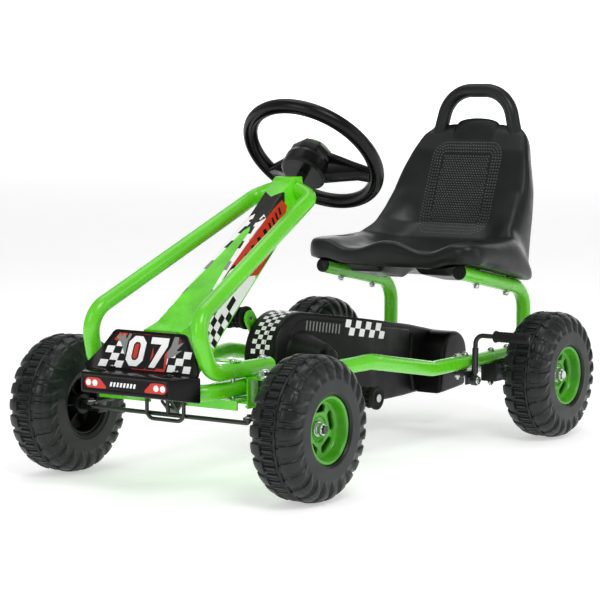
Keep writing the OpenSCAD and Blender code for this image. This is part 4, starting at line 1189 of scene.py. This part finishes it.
def drawn_in(outline, inset):
    """The closed outline, given anticlockwise, with every side moved inwards."""
    n = len(outline)
    out = []
    for i in range(n):
        before, here, after = Vector(outline[i - 1]), Vector(outline[i]), Vector(outline[(i + 1) % n])
        a, b = (here - before).normalized(), (after - here).normalized()
        shift = (Vector((-a.y, a.x)) + Vector((-b.y, b.x))) / (1 + a.dot(b))
        out.append(tuple(here + shift * inset))
    return out


def sheet(outer, inner, look, name):
    """A closed sheet between two equal grids of points in metres."""
    rows, columns = len(outer), len(outer[0])
    half = rows * columns
    points = [p for row in outer + inner for p in row]
    faces = quads(rows, columns) + [face[:1] + face[:0:-1] for face in quads(rows, columns, half)]
    last = (rows - 1) * columns
    sides = [(a, a + columns) for row in range(rows - 1) for a in (row * columns, (row + 1) * columns - 1)]
    ends = [(a, a + 1) for column in range(columns - 1) for a in (column, last + column)]
    faces += [(a, b, half + b, half + a) for a, b in sides + ends]
    return new_object(name, mesh_of(points, faces, 40), look)


def film(outline, surface, look, thick=0.3, grid=6, sink=0.5):
    """A printed film: a flat outline cut into a grid and laid on surface(u, v), which gives a
    chassis point and the outward direction there. It is a thin closed solid."""
    work = bmesh.new()
    whole = work.faces.new([work.verts.new((u, v, 0)) for u, v in outline])
    whole.normal_update()
    bmesh.ops.triangulate(work, faces=[whole], ngon_method="EAR_CLIP")
    for axis in (0, 1):
        low, high = min(p[axis] for p in outline), max(p[axis] for p in outline)
        steps = math.ceil((high - low) / grid)
        for i in range(1, steps):
            at, along = [0, 0, 0], [0, 0, 0]
            at[axis], along[axis] = mix(low, high, i / steps), 1
            everything = work.verts[:] + work.edges[:] + work.faces[:]
            bmesh.ops.bisect_plane(work, geom=everything, plane_co=at, plane_no=along)
    bmesh.ops.triangulate(work, faces=work.faces[:])
    work.verts.index_update()
    spots = [surface(v.co.x, v.co.y) for v in work.verts]
    points = [place(*(spot + out * height)) for height in (thick, -sink) for spot, out in spots]
    n = len(spots)
    faces = []
    for f in work.faces:
        index = [v.index for v in f.verts]
        faces += [tuple(index), tuple(n + i for i in reversed(index))]
    for e in work.edges:
        if len(e.link_faces) == 1:
            a, b = (v.index for v in e.verts)
            faces.append((a, b, n + b, n + a))
    work.free()
    return new_object("film", mesh_of(points, faces, 30), look)


def films(shapes, surface, grid=6):
    """The films of (look, height of the film's face, outline) rows."""
    return [film(outline, surface, look, height, grid) for look, height, outline in shapes]


def square(u, v, wide, tall, lean=0.0):
    return [(u, v), (u + wide, v), (u + wide + lean * tall, v + tall), (u + lean * tall, v + tall)]


def grown(outline, by):
    return drawn_in(outline, -by)


def slanted(outline, origin, size, lean):
    """An outline drawn in a unit square, scaled, leaned to the right and moved."""
    return [(origin[0] + x * size[0] + y * size[1] * lean, origin[1] + y * size[1]) for x, y in outline]


ZERO = [(0.28, 0), (0.72, 0), (1, 0.2), (1, 0.8), (0.72, 1), (0.28, 1), (0, 0.8), (0, 0.2)]
ZERO_HOLE = [(0.4, 0.2), (0.6, 0.2), (0.7, 0.29), (0.7, 0.71), (0.6, 0.8), (0.4, 0.8), (0.3, 0.71),
             (0.3, 0.29)]
SEVEN = [(0.16, 0), (0.5, 0), (1, 0.74), (1, 1), (0, 1), (0, 0.78), (0.62, 0.78)]


def number(surface, origin, size, gap, border, lean, layer):
    """The race number 07: white digits in black borders, and a red core in the nought."""
    shapes = []
    for digit, x in ((ZERO, origin[0]), (SEVEN, origin[0] + size[0] + gap)):
        outline = slanted(digit, (x, origin[1]), size, lean)
        shapes += [("black_ink", layer + 0.12, grown(outline, border)), ("white_ink_painted_glow", layer + 0.24, outline)]
    hole = slanted(ZERO_HOLE, origin, size, lean)
    shapes += [("black_ink", layer + 0.36, hole), ("red_ink", layer + 0.48, drawn_in(hole, border * 0.75))]
    return films(shapes, surface)


# ---- Bumper and its number plate ----

PLATE_LEAN = math.atan(17 / 58)
PLATE_FOOT = (0, -455, 181)
PLATE_FLAT = 76
BUMPER_FRONT = -500
LAMP_Z = 168


def plate_surface(u, v):
    """The number plate's face: it leans back, and its ends bend forward round the hoop tubes."""
    up = Vector((0, math.sin(PLATE_LEAN), math.cos(PLATE_LEAN)))
    out = Vector((0, -up.z, up.y))
    wing = max(abs(u) - PLATE_FLAT, 0)
    bend = wing * wing / 90
    spot = Vector(PLATE_FOOT) + Vector((1, 0, 0)) * u + up * v + out * (2 + bend)
    turn = Vector((-math.copysign(wing / 45, u), 0, 0))
    return spot, (out + turn).normalized()


def bumper_surface(u, v):
    return Vector((u, BUMPER_FRONT + 1.6, v)), Vector((0, -1, 0))


def plate_outline():
    left = arc((-60, 50), 12, 155, 90, 8)
    right = arc((60, 50), 12, 90, 25, 8)
    return [(101, 0), (104, 2), (104, 6)] + right[::-1] + left[::-1] + [(-104, 6), (-104, 2), (-101, 0)]


def bumper():
    parts = [film(plate_outline(), plate_surface, "bumper", 0, 6, 3.6)]
    plan = [(-106, -458.2)] + arc((-80, -496), 4, 225, 270, 5)
    plan += arc((80, -496), 4, 270, 315, 5) + [(106, -458.2)]
    rims = [(153, 2.2), (153.5, 1), (154.6, 0.2), (156, None), (180.4, None), (181.8, 0.2), (182.9, 1),
            (183.4, 2.2)]
    levels = [(z, drawn_in(plan, inset) if inset else plan) for z, inset in rims]
    body = stacked("box", levels, "bumper", upright(0, 0, 0))
    for v in body.data.vertices:
        if v.co.z < 165 * MM:
            back = min(max((v.co.y - place(0, -496, 0).y) / (38 * MM), 0), 1)
            v.co.z -= 8 * MM * back
    recess = arc((68, LAMP_Z), 9.6, -90, 90, 10) + arc((-68, LAMP_Z), 9.6, 90, 270, 10)
    tool = stacked("recess", [(0, recess), (1.6, recess), (4, grown(recess, 0.5))], "bumper",
                   axes_at((0, BUMPER_FRONT + 1.6, 0), (1, 0, 0), (0, 0, 1)))
    cut(body, tool)
    parts.append(bevelled(body, 0.7, 2, 40))
    parts.append(bevelled(block("ledge", (-84, -456, 184), (84, -442, 187), "bumper"), 1.2, 3))
    boss = [(2.1, 186.2), (8.6, 186.2), (8.6, 187.3), (8, 188), (6.4, 188), (6, 187.1), (2.1, 187.1)]
    dome = [(0, 182.8), (8.4, 182.8), (8.4, 184), (7.6, 185), (5.6, 185), (5, 184.2), (4.6, 185.2),
            (3, 186.4), (0, 186.7)]
    for side in (1, -1):
        parts.append(turned("boss", boss, "bumper", upright(side * 60, -451, 0), 40))
        parts.append(solid_turned("dome", dome, "bumper", upright(side * 63, -478, 0), 40))
    parts += plate_graphics()
    lamp = arc((68, LAMP_Z), 7.6, -90, 90, 10) + [(53, 175.6), (47, 174.5), (36, 164.1), (35.6, 161.7),
                                                  (37, 160.5)]
    shapes = []
    for side in (1, -1):
        shapes.append(("red_ink", 0.35, [(side * u, v) for u, v in lamp][::side]))
        shapes += [("white_ink_painted_glow", 0.6, circle((side * u, LAMP_Z), 4.7, 24)) for u in (56.5, 68.5)]
    shapes += [("white_ink_painted_glow", 0.35, square(-29 + 6.2 * i, 164.8, 3.4, 6.4, 0.3)) for i in range(8)]
    parts += films(shapes, bumper_surface, 8)
    settle(joined("bumper_moulding", parts), "front_bumper_panel")


def plate_graphics():
    """Plain racing graphics round the number: checks, red corners and grey slashes."""
    shapes = [
        ("black_ink", 0.15, [(-92, 4), (92, 4), (90, 8), (67.5, 51), (58, 57.5), (-58, 57.5), (-67.5, 51),
                             (-90, 8)]),
        ("red_ink", 0.3, [(-64, 46), (-56, 57), (-40, 57), (-48, 43)]),
        ("dark_red", 0.3, [(64, 47), (58, 55), (48, 50), (56, 43)])]
    for row, column in checks(4, 4, 0):
        cell = square(-86 + 14.6 * column + 4.4 * row, 5 + 10.6 * row, 14.4, 10.4, 0.3)
        shapes.append(("white_ink_painted_glow", 0.3, cell))
    for row, column in checks(3, 4, 1):
        cell = square(28 + 14.2 * column - 1.4 * row, 5 + 10.6 * row, 14, 10.4, 0.1)
        shapes.append(("white_ink_painted_glow", 0.3, cell))
    shapes += [
        ("grey_ink", 0.45, [(-60, 50), (-53, 46), (-46, 36), (-39, 22), (-36, 33), (-30, 56), (-37, 57),
                            (-41, 48), (-46, 57.2), (-50, 52), (-54, 56)]),
        ("grey_ink", 0.45, [(31, 14), (40, 20), (39, 24), (50, 28), (64, 38), (53, 36), (60, 44), (65, 50),
                            (55, 46), (55, 57), (47, 57), (43, 42), (34, 28)]),
        ("red_ink", 0.6, [(-30, 57.4), (-36, 44), (-30, 10), (-22, 4.4), (38, 4.4), (40, 12), (36, 50),
                          (36, 57.4)]),
        ("black_ink", 0.72, [(-32, 57), (4, 57), (12, 47), (8, 12), (0, 5.4), (-26, 5.4), (-36, 14),
                             (-36, 44)]),
        ("black_ink", 0.72, [(16, 8.5), (36, 8.5), (31.5, 57), (12, 57), (10, 50)])]
    return films(shapes, plate_surface) + number(plate_surface, (-37, 9), (32, 45), 8, 3.2, 0.08, 0.8)


# ---- Steering shroud ----

# (Y, bottom Z, top Z, half width at the bottom, half width at the top) down the shroud
SHROUD = [
    (-72, 428, 456, 24, 18), (-95, 408, 456, 28, 19), (-118, 388, 438, 31, 17), (-170, 350, 394, 37, 17),
    (-236, 304, 351, 45, 20), (-310, 255, 301, 56, 25), (-352, 227, 270, 63, 29), (-382, 203, 250, 69, 32),
    (-412, 194, 240, 73, 34)]
SHROUD_KEYS = [-0.1, -0.01, 0.08, 0.333, 0.5, 0.667, 0.833, 1, 1.1]
SHROUD_WALL = 2.6
TOP_PART = 0.26
CORNER_PART = 0.36


def shroud_point(t, v, inset=0.0):
    """A point of the shroud: t goes from its collar to its foot, v across it from -1 to 1."""
    table = np.array(SHROUD)
    y, low, high, wide, narrow = (float(np.interp(t, SHROUD_KEYS, table[:, i])) for i in range(5))
    high, low = high - inset * 1.1, low - inset * 0.5
    wide, narrow = wide - inset, narrow - inset * 0.6
    reach = abs(v)
    if reach < TOP_PART:
        x, z = narrow * reach / TOP_PART * 0.92, high
    elif reach < CORNER_PART:
        a = (reach - TOP_PART) / (CORNER_PART - TOP_PART) * math.pi / 2
        x, z = narrow * 0.92 + narrow * 0.1 * math.sin(a), high - 2.6 * (1 - math.cos(a))
    else:
        s = (reach - CORNER_PART) / (1 - CORNER_PART)
        x, z = mix(narrow * 1.02, wide, s ** 1.35), mix(high - 2.6, low, s)
    return Vector((math.copysign(x, v), y, z))


def shroud_surface(u, v):
    """shroud_point with u in hundredths of the length and v in hundredths of the half girth."""
    t, w = u / 100, v / 100
    spot = shroud_point(t, w)
    along = shroud_point(min(t + 0.01, 1), w) - shroud_point(max(t - 0.01, 0), w)
    across = shroud_point(t, min(w + 0.02, 1)) - shroud_point(t, max(w - 0.02, -1))
    out = across.cross(along).normalized()
    if out.z < 0 and abs(w) < CORNER_PART or out.x * w < 0 and abs(w) >= CORNER_PART:
        out = -out
    return spot, out


def shroud():
    rows, columns = 60, 81

    def skin(inset):
        turns = [mix(SHROUD_KEYS[0], SHROUD_KEYS[-1], r / (rows - 1)) for r in range(rows)]
        return [[place(*shroud_point(t, 2 * c / (columns - 1) - 1, inset)) for c in range(columns)]
                for t in turns]

    parts = [sheet(skin(0), skin(SHROUD_WALL), "green", "cowl")]
    half_tab = [(64, -394), (108, -394), (116, -391), (118, -381), (116, -371), (108, -368), (64, -368)]
    for side in (1, -1):
        tab = [(side * x, y) for x, y in half_tab][::side]
        plate = stacked("tab", [(198.1, tab), (199.6, tab), (200.1, drawn_in(tab, 0.5))], "green",
                        upright(0, 0, 0))
        hole = circle((side * hoop_x(-385), -385), 3.3, 24)
        cut(plate, extruded("hole", hole, 12, "green", upright(0, 0, 192)))
        parts.append(plate)
    parts += shroud_graphics()
    settle(joined("cowl", parts), "steering_shroud")


def shroud_graphics():
    """Racing graphics on the shroud: a black ground over its back, then the same on both sides."""
    ground = [(9, 40), (15, 0), (9, -40), (13, -80), (24, -98), (46, -98), (50, -60), (44, -22), (38, 0),
              (44, 22), (50, 60), (46, 98), (24, 98), (13, 80)]
    white = [(30, 14), (36, 8), (48, 14), (70, 27), (90, 36), (99, 56), (94, 98), (50, 98), (44, 60),
             (34, 34)]
    red = [(9, 66), (13, 44), (24, 36), (34, 31), (48, 33), (60, 36), (62, 42), (59, 58), (54, 76), (48, 98),
           (20, 92)]
    shapes = [("white_ink_painted_glow", 0.22, white)]
    for u, tall in ((38, 7), (46, 6), (56, 8), (70, 9), (83, 9)):
        edge = 9 + (u - 40) * 0.48
        dash = [(u, edge), (u + 4, edge + 2), (u + 4, edge + tall + 4), (u, edge + tall)]
        shapes.append(("grey_ink" if u in (56, 70) else "black_ink", 0.34, dash))
    shapes.append(("red_ink", 0.46, red))
    for row, column in checks(7, 4, 0):
        if row >= 2 or column >= 2:
            u, v = 62 + 5.2 * row, 58 + 10 * column
            shapes.append(("black_ink", 0.46, [(u, v), (u + 5.1, v + 1), (u + 5.1, v + 10.8), (u, v + 9.8)]))
    for i in range(9):
        u = 17 + 4.4 * i
        shapes.append(("black_ink", 0.6, [(u, 50), (u + 1.9, 47), (u + 1.9, 63), (u, 66)]))
    digit = [
        ("black_ink", 0.6, [(58, 36), (70, 40), (72, 46), (72, 60), (69, 66), (58, 60), (55.5, 54),
                            (55.5, 41)]),
        ("white_ink_painted_glow", 0.72, [(58.8, 39), (69.4, 42.6), (70.6, 47), (70.6, 58.5), (68.6, 62.6), (58.8, 57.4),
                             (57, 53.4), (57, 42.8)]),
        ("red_ink", 0.84, [(61, 43.5), (67.4, 46), (68, 49), (68, 54.5), (67, 56.6), (61, 53.4), (60, 51),
                           (60, 45.6)])]
    out = films([("black_ink", 0.15, ground[::-1])], shroud_surface, 5)
    for side in (1, -1):
        for rows, grid in ((shapes, 5), (digit, 4)):
            mine = [(look, height, [(u, side * v) for u, v in shape][::-side])
                    for look, height, shape in rows]
            out += films(mine, shroud_surface, grid)
    return out


# ---- Chain guard ----

GUARD_OUT = -67
GUARD_SPLIT = -28
GUARD_IN = -5
GUARD_R = 73
TAIL_X = 40
GUARD_WALL = 3
GUARD_FALL = 0.155
CRANK = (CRANK_Y, CRANK_Z)


def guard_outline():
    return (arc(CRANK, GUARD_R, 80, 252, 60) + [(150, 60), (280, 60), (345, 62), (408, 67), (415, 70)]
            + arc((380, 127), 40, 0, 80, 20) + [(300, 184), (150, 207.5)])


def tail_outline():
    return ([(326, 61.5), (345, 62), (408, 67), (415, 70)] + arc((380, 127), 40, 0, 90, 20)
            + [(364, 166.2), (351, 160), (342, 146), (335, 120), (329, 90)])


def across_x(x):
    """Outlines in (Y, Z) drawn at a distance x, extruded towards +X."""
    return axes_at((x, 0, 0), (0, 1, 0), (0, 0, 1))


def tray(outline, flat, crown, radius):
    """A hollow slab, open at `flat` and closed with a rounded rim at `crown`."""
    way = 1 if crown > flat else -1
    levels = [(flat, outline)]
    for degrees in range(0, 91, 18):
        a = math.radians(degrees)
        levels.append((crown - way * radius * (1 - math.sin(a)),
                       drawn_in(outline, radius * (1 - math.cos(a)))))
    hollow = [(flat - way * 5, drawn_in(outline, GUARD_WALL)),
              (crown - way * radius, drawn_in(outline, GUARD_WALL)),
              (crown - way * GUARD_WALL, drawn_in(outline, radius))]
    piece = stacked("tray", levels[::way], "black", across_x(0))
    cut(piece, stacked("hollow", hollow[::way], "black", across_x(0)))
    return piece


def rod_tool(x, y, z, radius, length):
    rim = circle((y, z), radius, 48)
    return stacked("tool", [(0, rim), (length, rim)], "black", across_x(x))


def bored(piece, x, crank_r, axle_reach):
    """Cuts the holes for the crank axle, the rear axle and the crossbar."""
    for tool in (rod_tool(x, *CRANK, crank_r, 40), rod_tool(x, REAR_Y, AXLE_Z, 9.5, axle_reach),
                 crossbar_tool()):
        cut(piece, tool)


def crossbar_tool():
    return block("tool", (GUARD_OUT - 5, 208, 113), (60, 251, 124), "black")


def guards():
    right_band, left_band = guard_band()
    shell = tray(guard_outline(), GUARD_SPLIT - 0.1, GUARD_OUT, 6)
    bored(shell, GUARD_OUT - 5, 10, 40)
    parts = [shell, panel_relief(GUARD_OUT, -1)] + right_band
    settle(joined("guard_right", parts), "chain_guard_right")

    parts = [tray(guard_outline(), GUARD_SPLIT, GUARD_IN, 6), tray(tail_outline(), GUARD_IN - 2, TAIL_X, 7)]
    for piece in parts:
        bored(piece, GUARD_IN - 20, 19, 80)
    cone = turned("cone", [(9.5, 46), (9.5, 43.6), (21.5, 43.6), (37.5, -7), (44, -7), (43.2, -4.6),
                           (41.8, -2.4), (40.4, 1), (25.6, 43.6), (24.6, 45.3), (22.8, 46)], "black",
                           lying(0, *CRANK), 96)
    cut(cone, block("tool", (2, -150, 118), (28, CRANK_Y, 164), "black"))
    rib = rounded_path([(-5.5, 309, 66), (-5.5, 296, 120), (-5.5, 303, 168)], [120])
    parts += [cone, panel_relief(GUARD_IN, 1), sweep("rib", rib, 4.2, "black", RIGHT, 24)]
    settle(joined("guard_left", parts + left_band + guard_side_graphics()), "chain_guard_left")


def panel_relief(x, side):
    """The guard's upper side stands a little proud of its lower side."""
    outline = [(-20, 150), (40, 140), (120, 136), (286, 124), (292, 132), (292, 176), (150, 198),
               (-25, 223.5), (-52, 220), (-72, 203), (-62, 172)]
    levels = [(-1.5, outline), (0, outline), (0.7, drawn_in(outline, 0.5)), (1.3, drawn_in(outline, 1.6)),
              (1.5, drawn_in(outline, 3))]
    piece = stacked("relief", [(side * h, o) for h, o in levels][::side], "black", across_x(x))
    cut(piece, rod_tool(x - 20, *CRANK, 19.5, 40))
    return piece


def guard_band():
    """Small checks in four columns over the guard's rounded front, left off at the joint of its
    halves: the films of the right half and those of the left."""
    def around(u, v):
        a = math.radians(v)
        out = Vector((0, math.cos(a), math.sin(a)))
        return Vector((u, *CRANK)) + out * GUARD_R, out

    low, wide, tall = -52, 8.9, 6.4
    bands = []
    for start, end in ((GUARD_OUT, GUARD_SPLIT - 0.6), (GUARD_SPLIT + 0.5, GUARD_IN)):
        cells = []
        for row, column in checks(14, 4, 1):
            u, v = low + column * wide, 83 + row * tall
            left, right = max(u, start), min(u + wide - 0.4, end)
            if right - left > 1:
                cells.append(("white_ink_painted_glow", 0.3, square(left, v, right - left, tall - 0.5)))
        bands.append(films(cells, around, 2.4))
    return bands


def guard_side_graphics():
    def side_face(u, v):
        return Vector((GUARD_IN + 1.5, u, v)), RIGHT

    shapes = []
    for row, column in checks(2, 8, 1):
        u = 82 + 15.6 * column + 5 * row
        v = 185.6 + 13.1 * row - GUARD_FALL * (u - 88)
        shapes.append(("white_ink_painted_glow", 0.3, [(u, v), (u + 15.4, v - 2.4), (u + 20.4, v + 9.9),
                                          (u + 5, v + 12.6)]))
    for i in range(11):
        u = -30 + 9.6 * i
        v = 202 - GUARD_FALL * (u + 14)
        shapes.append(("grey_ink", 0.3, [(u, v), (u + 3.4, v - 0.5), (u + 6.6, v + 14.9),
                                         (u + 3.2, v + 15.4)]))
    return films(shapes, side_face, 8)


def guard_loop():
    """The wire loop that keeps the tie rod from the ground."""
    x, y = 34.5, -405.1
    path = rounded_path([(x, y, 141), (x, y, 106), (-x, y, 106), (-x, y, 141)], [12, 12], 2)
    settle(sweep("wire", path, 3, "black_paint", BACK, 24), "tie_rod_guard")


# ---- Studio ----

FLOOR_GLOW = 0.47
WALL_GLOW = 0.95
SURROUND_GLOW = 0.36
# name, place, target, power, width, height
LIGHTS = [
    ("key", (2.0, -1.6, 3.2), (0, 0, 0.25), 40, 1.5, 1.5),
    ("front", (-0.6, -3.2, 1.6), (0, 0, 0.3), 16, 1.4, 1.4),
    ("side", (3.4, 0.8, 1.4), (0, 0.1, 0.3), 12, 1.0, 2.2),
    ("top", (-0.6, 0.4, 2.9), (0, 0, 0.2), 14, 1.8, 1.8)]
LENS = 128.8
EYE = (1945.66, -2893.87, 598.88)
EYE_AZIMUTH = math.radians(34.39)
EYE_ELEVATION = math.radians(5.69)

def area_light(name, where, target, power, wide, tall):
    data = bpy.data.lights.new(name, "AREA")
    data.shape = "RECTANGLE"
    data.energy = power
    data.size = wide
    data.size_y = tall
    lamp = linked(name, data)
    lamp.location = where
    lamp.rotation_euler = (Vector(target) - Vector(where)).to_track_quat("-Z", "Y").to_euler()


def glowing(name, corners, tones, inputs):
    """A plain face of the studio in a pale grey that glows a little."""
    mesh = bpy.data.meshes.new(name)
    mesh.from_pydata(corners, [], [(0, 1, 2, 3)])
    m, tree, shader = material(name, {"Emission Color": (1, 1, 1, 1), **inputs})
    tone = ramp(tree, noise(tree, 2), *(grey(tone) for tone in tones))
    tree.links.new(tone, shader.inputs["Base Color"])
    mesh.materials.append(m)
    face = linked(name, mesh)
    return face


def studio():
    """A plain pale floor, soft lights and a pale surround."""
    reach = 40
    corners = [(-reach, -reach, 0), (reach, -reach, 0), (reach, reach, 0), (-reach, reach, 0)]
    floor = glowing("floor", corners, (0.9, 0.92),
                    {"Roughness": 0.9, "Specular IOR Level": 0.1, "Emission Strength": FLOOR_GLOW})
    floor.location.z = -0.0005
    glowing("wall", [(-18, 14, -0.2), (6, 22, -0.2), (6, 22, 12), (-18, 14, 12)], (0.95, 0.97),
            {"Emission Strength": WALL_GLOW})
    world = bpy.data.worlds.new("surround")
    bpy.context.scene.world = world
    world.use_nodes = True
    background = world.node_tree.nodes["Background"]
    background.inputs["Color"].default_value = (1, 1, 1, 1)
    background.inputs["Strength"].default_value = SURROUND_GLOW
    for light in LIGHTS:
        area_light(*light)
    bpy.context.scene.view_settings.view_transform = "Standard"


def camera():
    data = bpy.data.cameras.new("camera")
    data.lens = LENS
    data.sensor_width = 36
    data.clip_end = 100
    data.dof.use_dof = False
    eye = linked("camera", data)
    eye.location = place(*EYE)
    level = math.cos(EYE_ELEVATION)
    back = Vector((math.sin(EYE_AZIMUTH) * level, -math.cos(EYE_AZIMUTH) * level, math.sin(EYE_ELEVATION)))
    eye.rotation_euler = back.to_track_quat("Z", "Y").to_euler()
    bpy.context.scene.camera = eye


for name in list(nodes):
    nodes[name].data.materials.clear()
    nodes[name].data.materials.append(MATERIALS[SLOT_MATERIALS[node_slots[name]]])

wheels()
axle_hardware()
frame_tubes()
fasteners()
small_steel()
steering()
crank_hub()
pedals()
brake()
chain()
seat()
bumper()
shroud()
guards()
guard_loop()
studio()
camera()
